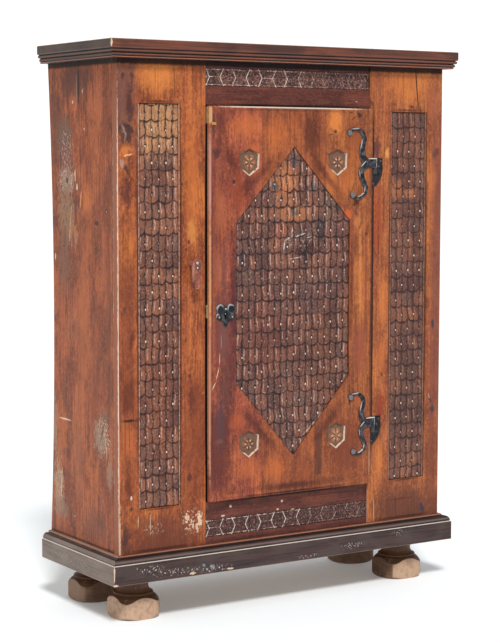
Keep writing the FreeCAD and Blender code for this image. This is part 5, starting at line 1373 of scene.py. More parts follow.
@dataclass(frozen=True)
class Case:
    """Sides, rails, friezes, mouldings, feet and the plain inner pieces."""

    side: float = 608.0
    rail_face: float = -204.0
    frieze_levels: tuple[float, float] = (1648.0, 262.0)
    foot_axes: tuple[float, float, float] = (508.0, -113.5, 150.5)

    def side_marks(self) -> tuple[Patch, ...]:
        """Wear of the left side: a torn slit, a long rubbed scar, bare wood low down, knots and scratches, and the
        painted shadow of the cornice.
        """
        olive, ash, chalk, slate = paint(114, 88, 72), paint(158, 128, 108), paint(218, 196, 176), paint(52, 38, 38)
        return (
            # broad zones
            flank(60, 1640, 150, 70, paint(96, 62, 54), 0.7, 0.8, 0.7),
            flank(-150, 1000, 22, 700, paint(112, 66, 52), 0.5, 0.6, 0.8),
            flank(20, 900, 50, 400, paint(190, 108, 66), 0.4, 0.6, 0.8),
            flank(-60, 700, 40, 260, paint(126, 68, 50), 0.5, 0.7, 0.8),
            flank(180, 1500, 60, 200, paint(96, 66, 56), 0.6, 0.8, 0.7),
            # the torn slit and chips beside it
            flank(36, 1622, 7, 68, slate, 0.9, 0.5, 0.4),
            flank(48, 1616, 3, 60, paint(176, 140, 120), 0.6, 0.9, 0.5),
            flank(11, 1605, 3, 9, chalk, 0.9, 0.5, 0.4), flank(75, 1573, 5, 6, chalk, 0.9, 0.8, 0.4),
            flank(-90, 1560, 50, 110, paint(172, 98, 66), 0.4, 0.7, 0.8),
            # the long rubbed scar, from the top down, with its specks and scratches
            flank(132, 1475, 58, 56, olive, 0.85, 1.2, 0.35),
            flank(128, 1400, 52, 60, paint(130, 82, 74), 0.75, 1.2, 0.4),
            flank(120, 1335, 58, 50, ash, 0.75, 1.6, 0.35),
            flank(124, 1225, 66, 90, paint(152, 116, 90), 0.85, 1.5, 0.3),
            flank(138, 1100, 46, 110, paint(134, 94, 76), 0.75, 1.5, 0.4),
            flank(72, 1168, 34, 44, paint(176, 120, 84), 0.75, 1.4, 0.4),
            flank(126, 1440, 56, 70, chalk, 0.6, 0.8, 0.5, shape=Shape.SPECKS),
            flank(118, 1330, 66, 60, paint(212, 190, 170), 0.8, 0.8, 0.5, shape=Shape.SPECKS),
            flank(126, 1180, 66, 170, paint(70, 48, 46), 0.75, 0.7, 0.5, shape=Shape.SPECKS),
            flank(96, 1200, 3.5, 70, paint(206, 158, 116), 0.8, 1.0, 0.5, 8),
            flank(84, 1330, 3, 60, paint(206, 164, 128), 0.7, 1.0, 0.5, 4),
            flank(116, 1334, 9, 11, slate, 0.85, 1.0, 0.5), flank(158, 1400, 5, 70, slate, 0.6, 0.8, 0.6),
            flank(104, 1440, 3.5, 44, slate, 0.6, 0.9, 0.5, 12),
            flank(60, 1250, 11, 60, paint(92, 60, 66), 0.8, 0.9, 0.6),
            flank(78, 1150, 12, 40, paint(98, 66, 70), 0.7, 1.2, 0.6),
            flank(134, 1150, 4, 50, paint(96, 66, 60), 0.7, 1.0, 0.5, 6),
            # bright chips and bare wood before the scar
            flank(50, 1315, 6, 14, chalk, 0.95, 0.8, 0.4), flank(62, 1350, 5, 18, chalk, 0.7, 1.0, 0.4),
            flank(26, 1276, 6, 44, paint(212, 146, 96), 0.85, 0.8, 0.5, 10),
            flank(-12, 1270, 34, 66, paint(204, 116, 66), 0.65, 0.5, 0.8),
            # nail holes and chips
            flank(-139, 1243, 9, 9, slate, 0.85, 0.4, 0.5), flank(-139, 1243, 3, 4, chalk, 0.8, 0.4, 0.5),
            flank(-75, 1206, 20, 8, slate, 0.75, 1.0, 0.5),
            flank(0, 1490, 5, 6, chalk, 0.8, 0.5, 0.5),
            flank(200, 1095, 4, 12, chalk, 0.95, 0.5, 0.4), flank(226, 1380, 5, 30, chalk, 0.6, 1.1, 0.5),
            flank(85, 880, 56, 60, ash, 0.55, 0.3, 0.6, shape=Shape.SPECKS),
            flank(132, 712, 3, 20, slate, 0.85, 0.4, 0.5),
            flank(140, 586, 50, 3.4, chalk, 0.95, 0.5, 0.5),
            # the swirl low at the front
            flank(-118, 620, 36, 36, olive, 0.7, 1.0, 0.6), flank(-92, 556, 48, 58, ash, 0.8, 1.5, 0.4, -20),
            flank(-152, 450, 22, 56, ash, 0.65, 1.4, 0.5),
            flank(-120, 560, 60, 100, chalk, 0.6, 0.3, 0.6, shape=Shape.SPECKS),
            flank(-128, 540, 3.5, 60, paint(214, 176, 142), 0.8, 0.9, 0.5, -12),
            flank(-88, 600, 3, 40, paint(206, 160, 122), 0.7, 0.9, 0.5, 16),
            flank(-104, 570, 5, 36, slate, 0.7, 0.9, 0.5, 20),
            flank(-140, 500, 5, 30, slate, 0.7, 0.9, 0.5, 10),
            flank(-160, 620, 10, 50, paint(150, 80, 54), 0.6, 0.8, 0.6),
            # bare wood low at the back, and a nail hole
            flank(190, 370, 40, 100, paint(176, 138, 110), 0.75, 1.5, 0.5),
            flank(186, 370, 44, 96, chalk, 0.5, 0.5, 0.6, shape=Shape.SPECKS),
            flank(168, 380, 3.5, 70, paint(212, 186, 160), 0.8, 0.9, 0.5, 6),
            flank(214, 560, 22, 120, ash, 0.7, 1.2, 0.5),
            flank(170, 300, 60, 40, paint(140, 116, 100), 0.6, 1.2, 0.5),
            flank(79, 287, 8, 8, slate, 0.8, 0.4, 0.5), flank(79, 287, 4, 4, chalk, 0.9, 0.5, 0.5),
            # broad zones low down, and the edges
            flank(60, 480, 60, 180, paint(176, 108, 72), 0.4, 0.6, 0.8),
            flank(-60, 280, 120, 60, paint(112, 72, 58), 0.5, 0.7, 0.8),
            flank(232, 900, 14, 900, paint(90, 66, 58), 0.6, 0.6, 0.8),
            flank(241, 900, 2.5, 900, slate, 0.8, 0.3, 0.5),
            corner_line(-self.side, -178, 2, 2.6, slate, 0.9, 0.25, 0.5),
            # painted shadow: a dark band under the cornice
            belt(*CORNICE_SHADE, paint(16, 10, 10), 0.92, 0.2, 0.45),
            belt(209, 225, paint(46, 28, 24), 0.7, 0.3, 0.8))

    def dress_sides(self) -> None:
        """The two sides: warm brown, with grey and pale patches on the left one, and the painted shadow of the
        cornice on both.
        """
        left = Timber(
            light=paint(192, 108, 68), body=paint(166, 89, 57), deep=paint(108, 58, 44), patina=paint(58, 38, 38),
            glow=paint(192, 108, 62), grain=Grain.UPRIGHT_SIDE, seed=21.0, pith=60.0, pith_depth=30.0, tilt=0.05,
            middle=700.0, ring=10.0, ring_show=0.5, cloudy=0.6, facing=Facing.LEFT, face=-self.side, thick=25.0,
            patches=self.side_marks())
        dress(left.material("timber_side_left"), "side_left")
        right = Timber(
            light=paint(168, 104, 72), body=paint(144, 84, 60), deep=paint(102, 60, 46), patina=paint(64, 42, 36),
            glow=paint(178, 104, 64), grain=Grain.UPRIGHT_SIDE, seed=27.0, pith=-40.0, pith_depth=34.0, tilt=0.05,
            middle=1100.0, ring=9.0, ring_show=0.35, cloudy=0.45, facing=Facing.RIGHT, face=self.side, thick=25.0,
            knots=(Knot(80.0, 1210.0, 8.0),),
            patches=(flank(120, 420, 110, 260, paint(128, 86, 64), 0.5, 0.8, 0.7),
                     # painted shadow: a dark band under the cornice
                     belt(*CORNICE_SHADE, paint(16, 10, 10), 0.92, 0.2, 0.45)))
        dress(right.material("timber_side_right"), "side_right")

    def dress_rails(self) -> None:
        """Dark red-brown rails with pale spots of wear, the painted shadow of the cornice and of the door, and
        painted shade in the gap beside the door.
        """
        for node, seed, spots in (
                ("frieze_rail_top", 33.0, ((108, 1662, 7, 6), (262, 1583, 3, 2))),
                ("frieze_rail_bottom", 37.0, ((-211, 324, 5, 5), (-19, 321, 5, 5), (-34, 296, 7, 3), (20, 288, 8, 5),
                                             (-240, 297, 9, 3)))):
            patches = tuple(front(x, z, a, b, CREAM, 0.85, 1.1, 0.4) for x, z, a, b in spots) + (
                # painted shadow: a dark band under the cornice
                strip(-600, 600, *CORNICE_SHADE, paint(14, 9, 10), 0.92, 0.2, 0.45),
                strip(-310, 320, 1562, 1570, paint(28, 14, 14), 0.85, 0.3, 0.6),
                # painted shadow of the proud door on the rail under it
                strip(-310, 320, 336, 352, paint(24, 12, 12), 0.9, 0.2, 0.7),
                # painted shade in the gap between the left board and the door
                strip(-304, -300.5, 130, 1730, paint(36, 20, 18), 0.7, 0.3, 0.5))
            timber = Timber(light=paint(116, 66, 54), body=paint(96, 52, 46), deep=paint(66, 36, 34),
                            patina=paint(46, 26, 26), glow=paint(128, 70, 52), grain=Grain.LEVEL, seed=seed,
                            pith=1600.0, pith_depth=20.0, tilt=0.02, middle=0.0, ring=7.0, ring_show=0.3, cloudy=0.5,
                            facing=Facing.FRONT, face=self.rail_face, thick=24.0, patches=patches, rough=0.4)
            dress(timber.material("timber_" + node), node)

    def carve(self, finish: CarvedTimber) -> None:
        """The two friezes."""
        top, bottom = self.frieze_levels
        material = finish.material("carving_friezes")
        Frieze("frieze_top", top, fade=40.0).build(material)
        Frieze("frieze_bottom", bottom, fade=70.0).build(material)

    def dress_cornice(self) -> None:
        """Cornice: dark stain, with seams by level: paler beads, reeds and top arris, and painted shade in the
        quirks.
        """
        black = DEEP_LINE
        seams = (
            Seam(1694.6, 1696.6, paint(60, 38, 34), 0.8), Seam(1696.8, 1700.2, paint(192, 124, 92), 0.75, 0.7),
            Seam(1700.5, 1703.4, black, 0.95, 0.5), Seam(1704.6, 1708.4, paint(150, 92, 72), 0.7),
            Seam(1710.1, 1713.0, black, 0.95, 0.5), Seam(1713.8, 1718.2, paint(130, 80, 66), 0.6),
            Seam(1719.6, 1722.4, black, 0.95, 0.5), Seam(1723.5, 1726.5, paint(130, 84, 66), 0.35),
            Seam(1747.8, 1750.6, paint(186, 150, 126), 0.55))
        corner = Patch((-645.5, -244, 1736), (5, 5, 17), WORN_CORNER, 0.95, 0.8, 0.3)
        for side, body, warm, dull, turn, seed in (
                ("front", paint(82, 50, 42), paint(118, 66, 48), paint(58, 40, 38), Grain.LEVEL, 41.0),
                ("left", paint(74, 60, 54), paint(90, 72, 62), paint(58, 50, 46), Grain.DEEP, 45.0),
                ("right", paint(76, 58, 52), paint(92, 70, 60), paint(60, 50, 46), Grain.DEEP, 49.0)):
            moulding = DarkMoulding(body, warm, dull, seams, (corner,), seed, turn)
            dress(moulding.material("stain_cornice_" + side), "cornice_" + side)

    def dress_plinth(self) -> None:
        """Plinth: dark stain, with seams by level, painted shade in its cove and quirk, chipped corners and splashed
        spots.
        """
        black, worn = DEEP_LINE, WORN_CORNER
        seams = (
            Seam(129.6, 131.8, paint(160, 128, 106), 0.5), Seam(189.6, 192.0, paint(226, 214, 202), 0.9, 0.7),
            Seam(192.2, 195.2, black, 0.95, 0.5), Seam(196.5, 203.5, paint(124, 104, 96), 0.6),
            Seam(205.4, 209.2, black, 0.92, 0.5), Seam(210.0, 215.6, paint(176, 112, 80), 0.75, 0.9))
        chips = (Patch((-642.5, -241, 168), (4, 4, 34), worn, 0.9, 1.1, 0.3),
                 Patch((-642.5, -241, 133), (16, 5, 4), worn, 0.9, 1.0, 0.3),
                 Patch((-642.5, -241, 200), (6, 6, 14), paint(196, 132, 92), 0.8, 0.7, 0.4))
        spots = tuple(front(x, z, a, b, paint(196, 188, 182), 0.8, 1.0, 0.7, shape=Shape.SPECKS)
                      for x, z, a, b in ((-430, 150, 100, 14), (-300, 146, 90, 14), (60, 142, 50, 8),
                                         (-520, 168, 60, 16), (230, 156, 60, 14), (420, 176, 40, 12))) + (
            front(-372, 139, 12, 4, worn, 0.8, 1.6, 0.4), front(-236, 137, 16, 3, worn, 0.8, 1.6, 0.4),
            front(-330, 158, 9, 7, paint(120, 136, 142), 0.8, 1.4, 0.5),
            front(-300, 150, 12, 8, paint(140, 150, 154), 0.7, 1.6, 0.5))
        flecks = (flank(20, 160, 150, 20, paint(170, 156, 146), 0.6, 0.4, 0.5, shape=Shape.SPECKS),)
        for side, body, warm, dull, turn, seed in (
                ("front", paint(48, 35, 36), paint(72, 50, 47), paint(76, 62, 58), Grain.LEVEL, 53.0),
                ("left", paint(104, 88, 80), paint(124, 104, 92), paint(132, 116, 108), Grain.DEEP, 57.0),
                ("right", paint(66, 52, 48), paint(84, 66, 60), paint(76, 66, 62), Grain.DEEP, 61.0)):
            marks = chips + (spots if side == "front" else flecks)
            moulding = DarkMoulding(body, warm, dull, seams, marks, seed, turn)
            dress(moulding.material("stain_plinth_" + side), "plinth_" + side)

    def dress_feet(self) -> None:
        """Four feet, each with its own worn flats."""
        x, front_y, rear_y = self.foot_axes
        for name, axis, show, seed in (
                ("front_left", (-x, front_y), (1.0, 1.0, 0.4, 0.3), 1.0),
                ("front_right", (x, front_y), (0.1, 0.95, 0.6, 0.2), 5.0),
                ("rear_left", (-x, rear_y), (0.45, 0.15, 0.1, 0.8), 9.0),
                ("rear_right", (x, rear_y), (0.2, 0.2, 0.9, 0.8), 13.0)):
            dress(TurnedFoot(axis, show=show, seed=seed).material("foot_" + name), "foot_" + name)

    def dress_inside(self) -> None:
        """The plain pieces inside, under and behind."""
        plain = dict(light=paint(196, 158, 112), body=paint(172, 130, 88), deep=paint(126, 90, 60),
                     patina=paint(104, 78, 58), glow=paint(188, 148, 104), cloudy=0.35, ring_show=0.35,
                     rough=0.62, shine=0.2)
        upright = Timber(grain=Grain.UPRIGHT, seed=71.0, pith=-100.0, pith_depth=70.0, ring=13.0,
                         knots=(Knot(-420.0, 1010.0, 10.0), Knot(260.0, 610.0, 9.0)), **plain)
        level = Timber(grain=Grain.LEVEL_FLAT, seed=75.0, pith=20.0, pith_depth=40.0, middle=0.0, **plain)
        deep = Timber(grain=Grain.DEEP, seed=79.0, pith=900.0, pith_depth=80.0, middle=0.0, **plain)
        blocks = [f"corner_block_{end}_{hand}" for end in ("front", "rear") for hand in ("left", "right")]
        dress(upright.material("bare_upright"), *(f"back_plank_{i}" for i in range(1, 6)), *blocks)
        dress(level.material("bare_level"), "bottom_board", "shelf_lower", "shelf_middle", "shelf_upper",
              "door_batten_top", "door_batten_bottom", "door_dowels")
        dress(deep.material("bare_deep"), "shelf_cleats_left", "shelf_cleats_right")
        top = Timber(light=paint(120, 88, 70), body=paint(98, 70, 58), deep=paint(66, 50, 44),
                     glow=paint(128, 90, 68), grain=Grain.LEVEL_FLAT, seed=83.0, pith=40.0, pith_depth=50.0,
                     middle=0.0, rough=0.6)
        dress(top.material("timber_top"), "top_board")


@dataclass(frozen=True)
class Door:
    """The door: three planks, the long hexagon of scales and the four shields."""

    face: float = -224.5
    bounds: tuple[float, float, float, float] = (-299.0, 312.0, 349.0, 1561.0)
    joints: tuple[float, float] = (-110.0, 128.0)
    centre: float = 10.0
    half: float = 215.0
    levels: tuple[float, float, float, float] = (467.0, 710.0, 1207.0, 1440.0)
    carving_depth: float = 6.0
    shield_levels: tuple[float, float] = (517.0, 1390.0)
    shield_offset: float = 166.0

    def pockets(self) -> tuple[Patch, ...]:
        """Grey dirt on the ground of the four sunk shields, limited in depth to the pockets."""
        grime = paint(106, 84, 72)
        return tuple(Patch((self.centre + sign * self.shield_offset, self.face + 4.6, level), (44, 3.0, 50), grime,
                           0.95, 0.15, 0.15, Shape.BAND) for sign in (-1, 1) for level in self.shield_levels)

    def shared_marks(self) -> tuple[Patch, ...]:
        """Edges and joints of the door, the dirt round the carving, and painted shade in the gap at the lock side,
        along the lower edge and beside the carving's left point.
        """
        x0, x1, z0, z1 = self.bounds
        gap_shade, pale, burnt = paint(18, 10, 10), paint(214, 186, 158), paint(70, 34, 32)
        return (
            # the keyhole, and zones along both sides of the carving
            front(-243, 921, 9, 17, SOOT, 1.0, 0.0, 0.2),
            strip(x0 - 60, -236, 700, 1700, paint(112, 60, 50), 0.4, 0.6, 0.7),
            front(266, 1040, 9, 260, paint(206, 132, 78), 0.6, 0.8, 0.8),
            front(236, 1080, 8, 260, paint(128, 66, 50), 0.6, 0.8, 0.8),
            front(290, 1000, 9, 330, paint(120, 62, 48), 0.6, 0.9, 0.8),
            front(262, 790, 40, 110, paint(142, 74, 56), 0.6, 0.8, 0.7),
            # painted shade: a dark band left of the side point of the hexagon
            front(-212, 1000, 28, 280, paint(78, 36, 42), 0.85, 0.7, 0.8),
            front(10, 372, 300, 18, burnt, 0.5, 0.7, 0.8),
            front(-216, 760, 24, 120, paint(84, 44, 44), 0.6, 0.8, 0.8),
            # dirt along the slopes of the hexagon
            front(-120, 560, 22, 130, burnt, 0.6, 0.5, 0.8, -42),
            front(140, 560, 20, 130, burnt, 0.55, 0.5, 0.8, 42),
            front(-120, 1350, 20, 120, burnt, 0.55, 0.5, 0.8, 42),
            front(130, 1350, 18, 120, burnt, 0.6, 0.5, 0.8, -42),
            front(232, 1010, 8, 200, burnt, 0.6, 0.7, 0.8),
            # the edge on the lock side, worn pale in places
            strip(x0 - 1, x0 + 4.8, z0, z1, paint(184, 120, 92), 0.85, 0.5, 0.4),
            strip(x0 - 1, x0 + 5.5, 870, 1220, paint(208, 150, 104), 0.7, 1.0, 0.5),
            strip(x0 - 1, x0 + 5.5, 1210, 1500, paint(188, 140, 124), 0.8, 0.4, 0.4),
            strip(x0 - 1, x0 + 4, z0, 860, paint(150, 90, 70), 0.5, 0.9, 0.5),
            strip(x0 - 1, x0 + 3.4, 400, 880, paint(204, 150, 122), 0.6, 0.6, 0.5),
            # painted shade: the door's side face is black where it looks into the gap
            corner_line(x0, -199.5, 3, 12, gap_shade, 0.97, 0.12, 0.2),
            strip(x0 + 5, x0 + 12, z0, z1, burnt, 0.5, 0.6, 0.8),
            # top and bottom edges, joints of the planks and the hinge edge
            strip(x0, x1 - 2, z1 - 4.8, z1 + 1, paint(214, 200, 184), 0.9, 0.3, 0.4),
            strip(x0, x1, z1 - 15, z1 - 5, paint(84, 44, 36), 0.5, 0.5, 0.8),
            # painted shade along the door's lower edge
            strip(x0, x1, z0 - 1, z0 + 10, paint(40, 22, 20), 0.85, 0.4, 0.9),
            strip(self.joints[0] - 1.0, self.joints[0] + 1.0, z0, z1, SOOT, 0.5, 0.6, 0.8),
            strip(self.joints[1] - 1.0, self.joints[1] + 1.0, z0, z1, SOOT, 0.6, 0.5, 0.8),
            strip(x1 - 6, x1 + 1, z0, z1, paint(62, 32, 28), 0.75, 0.4, 0.8),
            front(x1 - 4, 430, 3, 80, pale, 0.3, 0.9, 0.7), *self.pockets())

    def left_marks(self) -> tuple[Patch, ...]:
        """Wear of the lock plank."""
        x0, z1 = self.bounds[0], self.bounds[3]
        burnt, orange, slate, tan = paint(76, 36, 32), paint(206, 112, 58), paint(50, 40, 46), paint(206, 160, 112)
        return (
            # over the lock
            front(-165, 1500, 90, 60, orange, 0.5, 0.6, 0.8),
            front(-140, 1400, 40, 90, paint(196, 100, 52), 0.6, 0.6, 0.8),
            front(-262, 1510, 40, 60, burnt, 0.6, 0.6, 0.8),
            front(-286, 1500, 10, 50, paint(62, 46, 46), 0.7, 0.7, 0.7),
            front(-276, 1418, 20, 22, slate, 0.9, 0.7, 0.7), front(-268, 1450, 16, 40, burnt, 0.7, 0.7, 0.7),
            front(-222, 1400, 60, 26, burnt, 0.6, 0.8, 0.8, 60),
            front(-200, 1300, 46, 70, paint(150, 68, 42), 0.6, 0.7, 0.8),
            front(-165, 1330, 26, 60, burnt, 0.6, 0.7, 0.8, 35),
            front(-262, 1240, 34, 110, paint(190, 106, 66), 0.55, 0.6, 0.8),
            front(-268, 1060, 26, 90, paint(186, 108, 74), 0.5, 0.6, 0.8),
            # round the lock, and a knot over it
            front(-240, 890, 64, 170, paint(110, 60, 56), 0.85, 0.5, 0.6),
            front(-213, 1331, 7, 9, slate, 0.85, 0.6, 0.5),
            front(-211, 1322, 5, 5, paint(120, 110, 104), 0.7, 0.6, 0.5),
            front(-248, 1060, 14, 110, paint(104, 66, 66), 0.6, 0.9, 0.7),
            front(-252, 860, 22, 90, paint(112, 78, 74), 0.6, 0.8, 0.7),
            # under the lock
            front(-240, 690, 30, 130, paint(84, 56, 54), 0.7, 0.8, 0.7),
            front(-250, 560, 26, 60, paint(96, 58, 50), 0.6, 0.8, 0.7),
            front(-268, 532, 28, 12, paint(190, 112, 80), 0.8, 1.4, 0.6),
            front(-262, 534, 16, 9, paint(196, 178, 162), 0.7, 1.5, 0.5),
            front(-238, 526, 20, 12, paint(70, 58, 70), 0.6, 1.2, 0.6),
            front(-250, 512, 26, 3, SOOT, 0.6, 0.8, 0.6), front(-261, 654, 6, 6, slate, 0.8, 0.5, 0.5),
            strip(x0 - 60, -196, 330, 700, paint(92, 46, 42), 0.85, 0.5, 0.55),
            front(-262, 600, 26, 130, paint(84, 62, 68), 0.6, 0.7, 0.8),
            front(-160, 440, 60, 50, orange, 0.4, 0.6, 0.8),
            front(-200, 590, 40, 40, paint(176, 84, 48), 0.5, 0.7, 0.8),
            # pale scratches
            front(-264, 789, 1.6, 22, CREAM, 0.8, 0.4, 0.5), front(-271, 745, 1.7, 27, CREAM, 0.9, 0.4, 0.5, 16),
            front(-285, 706, 2.0, 17, CREAM, 0.95, 0.4, 0.5, 30), front(-258, 842, 1.1, 32, CREAM, 0.45, 0.4, 0.5),
            *self.shared_marks(),
            strip(x0 - 1, x0 + 9, 1505, z1, tan, 0.85, 0.3, 0.3),
            strip(x0 + 6, x0 + 24, 1503, 1512, paint(196, 140, 70), 0.85, 0.5, 0.4))

    def middle_marks(self) -> tuple[Patch, ...]:
        """Wear of the middle plank."""
        burnt, orange = paint(76, 38, 30), paint(202, 108, 54)
        return (
            front(-60, 1480, 60, 70, orange, 0.4, 0.6, 0.8), front(70, 1480, 46, 110, burnt, 0.65, 0.6, 0.8),
            front(96, 1380, 30, 90, paint(104, 54, 38), 0.7, 0.5, 0.8),
            front(15, 1520, 30, 40, paint(150, 74, 46), 0.5, 0.6, 0.8),
            front(-60, 430, 60, 60, orange, 0.5, 0.6, 0.8),
            front(50, 410, 40, 60, paint(150, 78, 48), 0.5, 0.6, 0.8),
            strip(88, 126, 349, 600, paint(80, 48, 40), 0.8, 0.4, 0.6),
            front(10, 372, 120, 14, burnt, 0.6, 0.7, 0.8),
            *self.shared_marks())

    def right_marks(self) -> tuple[Patch, ...]:
        """Wear of the hinge plank."""
        burnt, orange, slate = paint(70, 32, 28), paint(222, 132, 64), paint(52, 40, 42)
        return (
            # broad zones over the upper shield
            front(165, 1520, 40, 70, orange, 0.75, 0.6, 0.8),
            front(150, 1340, 34, 90, paint(196, 112, 58), 0.7, 0.6, 0.8),
            front(205, 1330, 30, 60, paint(196, 104, 56), 0.5, 0.6, 0.8),
            front(215, 1225, 26, 22, paint(206, 98, 50), 0.7, 0.7, 0.7),
            # knots and scars
            front(165, 1487, 8, 8, slate, 0.8, 0.7, 0.5), front(150, 1478, 14, 3, burnt, 0.6, 0.9, 0.6),
            front(258, 1541, 14, 9, slate, 0.9, 1.0, 0.5, 40), front(240, 1532, 18, 3, burnt, 0.7, 0.8, 0.5, -30),
            front(226, 1548, 6, 5, burnt, 0.7, 0.8, 0.5),
            front(248, 1262, 22, 16, burnt, 0.85, 0.9, 0.7), front(262, 1292, 10, 40, burnt, 0.5, 0.8, 0.7),
            front(252, 1200, 20, 30, paint(206, 124, 68), 0.6, 0.8, 0.7),
            # down the hinge edge, and round the shields
            front(278, 1000, 20, 190, paint(198, 112, 64), 0.4, 0.6, 0.8),
            front(290, 1162, 7, 8, burnt, 0.8, 0.6, 0.5),
            front(276, 800, 26, 120, paint(168, 92, 60), 0.5, 0.6, 0.8),
            front(210, 470, 90, 130, paint(112, 56, 40), 0.75, 0.5, 0.7),
            front(240, 1450, 60, 110, paint(140, 72, 46), 0.5, 0.6, 0.8),
            front(228, 622, 4, 16, burnt, 0.8, 0.6, 0.5), *self.shared_marks())

    def dress(self) -> None:
        """Gives each plank its timber."""
        common = dict(facing=Facing.FRONT, face=self.face, thick=30.0)
        left = Timber(
            light=paint(178, 95, 67), body=paint(149, 76, 58), deep=paint(98, 46, 42), glow=paint(200, 108, 66),
            seed=91.0, pith=-250.0, pith_depth=26.0, tilt=0.05, middle=1250.0, ring=9.0, ring_show=0.4, cloudy=0.4,
            patches=self.left_marks(), **common)
        dress(left.material("timber_door_left"), "door_plank_left")
        middle = Timber(
            light=paint(166, 92, 58), body=paint(142, 76, 50), deep=paint(96, 50, 38), glow=paint(190, 106, 58),
            seed=97.0, pith=10.0, pith_depth=22.0, tilt=0.05, middle=900.0, ring=9.0, ring_show=0.35, cloudy=0.4,
            patches=self.middle_marks(), **common)
        dress(middle.material("timber_door_middle"), "door_plank_middle")
        right = Timber(
            light=paint(172, 99, 61), body=paint(147, 80, 52), deep=paint(99, 53, 38), glow=paint(197, 115, 59),
            seed=103.0, pith=220.0, pith_depth=24.0, tilt=0.05, middle=600.0, ring=9.0, ring_show=0.4, cloudy=0.4,
            patches=self.right_marks(), **common)
        dress(right.material("timber_door_right"), "door_plank_right")

    def carving_marks(self) -> tuple[Patch, ...]:
        """Zones of the long hexagon: bare orange wood above, blue-grey scales, a splintered place, and a pale edge,
        worn and with a painted highlight.
        """
        orange, steel, slate, chalk = paint(204, 126, 76), paint(70, 76, 78), paint(50, 46, 54), paint(226, 216, 204)
        ash = paint(150, 132, 120)
        scars = ((-12, 1152, 17, 2.6, -28), (36, 1164, 24, 2.2, -16), (-26, 1130, 2.4, 16, 8),
                 (4, 1178, 2.2, 12, 16), (70, 1156, 20, 1.6, -10), (20, 1092, 30, 1.6, -6))
        return (
            # broad zones
            front(-20, 1330, 76, 90, orange, 0.75, 0.7, 0.8), front(0, 1236, 110, 50, orange, 0.6, 0.8, 0.8),
            front(-40, 1170, 60, 60, paint(160, 84, 52), 0.5, 0.8, 0.8),
            front(150, 1270, 56, 110, paint(100, 82, 70), 0.7, 0.9, 0.8),
            front(-100, 880, 120, 220, paint(116, 62, 52), 0.5, 0.8, 0.8),
            front(120, 760, 90, 260, paint(120, 74, 52), 0.5, 0.8, 0.8),
            front(90, 980, 110, 90, paint(92, 62, 60), 0.6, 0.8, 0.8),
            front(-180, 1200, 44, 60, paint(104, 64, 54), 0.6, 0.8, 0.8),
            # single grey scales, and dark ones at the sides
            front(10, 1388, 17, 20, steel, 0.75, 0.7, 0.5), front(-62, 1316, 19, 20, steel, 0.85, 0.5, 0.5),
            front(80, 1312, 18, 20, steel, 0.75, 0.6, 0.5),
            front(10, 1238, 18, 20, paint(66, 80, 78), 0.75, 0.8, 0.5),
            front(112, 1180, 22, 60, slate, 0.8, 0.8, 0.6), front(-178, 1092, 24, 40, slate, 0.8, 0.9, 0.6, -20),
            front(180, 1250, 16, 30, slate, 0.7, 0.9, 0.6),
            # the splintered place
            front(58, 1118, 74, 28, paint(66, 34, 34), 0.8, 1.0, 0.6),
            front(60, 1102, 72, 3, SOOT, 0.9, 0.8, 0.5, 88),
            front(50, 1082, 66, 2.5, SOOT, 0.85, 0.9, 0.5, 92), front(46, 1136, 60, 2.2, SOOT, 0.8, 0.9, 0.5, 86),
            *(front(x, z, a, b, chalk, 0.9, 0.6, 0.4, lean) for x, z, a, b, lean in scars),
            front(30, 1150, 70, 30, chalk, 0.7, 0.4, 0.6, shape=Shape.SPECKS),
            # dust, and the edges of the lower point: the lower right one worn pale with a painted highlight, the
            # lower left one browner
            front(0, 1100, 215, 330, ash, 0.35, 0.4, 0.7, shape=Shape.SPECKS),
            front(20, 640, 190, 170, ash, 0.35, 0.4, 0.7, shape=Shape.SPECKS),
            front(118, 590, 170, 3.4, paint(206, 174, 150), 0.8, 0.5, 0.5, -41.5),
            front(-100, 590, 170, 2.4, paint(150, 108, 90), 0.5, 0.6, 0.5, 41.5))

    def carve(self, finish: CarvedTimber, rim: CarvedTimber, rosette: CarvedTimber,
              pegs: bpy.types.Material) -> None:
        """The long hexagon, and the rims and rosettes of the shields."""
        low, side_low, side_high, high = self.levels
        left, right, tip = self.centre - self.half, self.centre + self.half, 1.5
        outline = ((low + 2, self.centre - tip, self.centre + tip), (side_low, left, right),
                   (side_high, left, right), (high - 2, self.centre - tip, self.centre + tip))
        scales = Scales(centre=self.centre, level=885.9)
        relief = Relief("scales_door", "door", scales, outline, self.face + self.carving_depth)
        relief.build(replace(finish, patches=self.carving_marks()).material("carving_scales_door"), pegs)
        rim_material, rosette_material = rim.material("carving_shields"), rosette.material("carving_rosettes")
        for row, level in zip(("low", "high"), self.shield_levels):
            for hand, sign in (("left", -1.0), ("right", 1.0)):
                middle = self.centre + sign * self.shield_offset
                shield = Shield(f"shield_{row}_{hand}", middle, level, face=self.face)
                shield.build(rim_material, rosette_material)


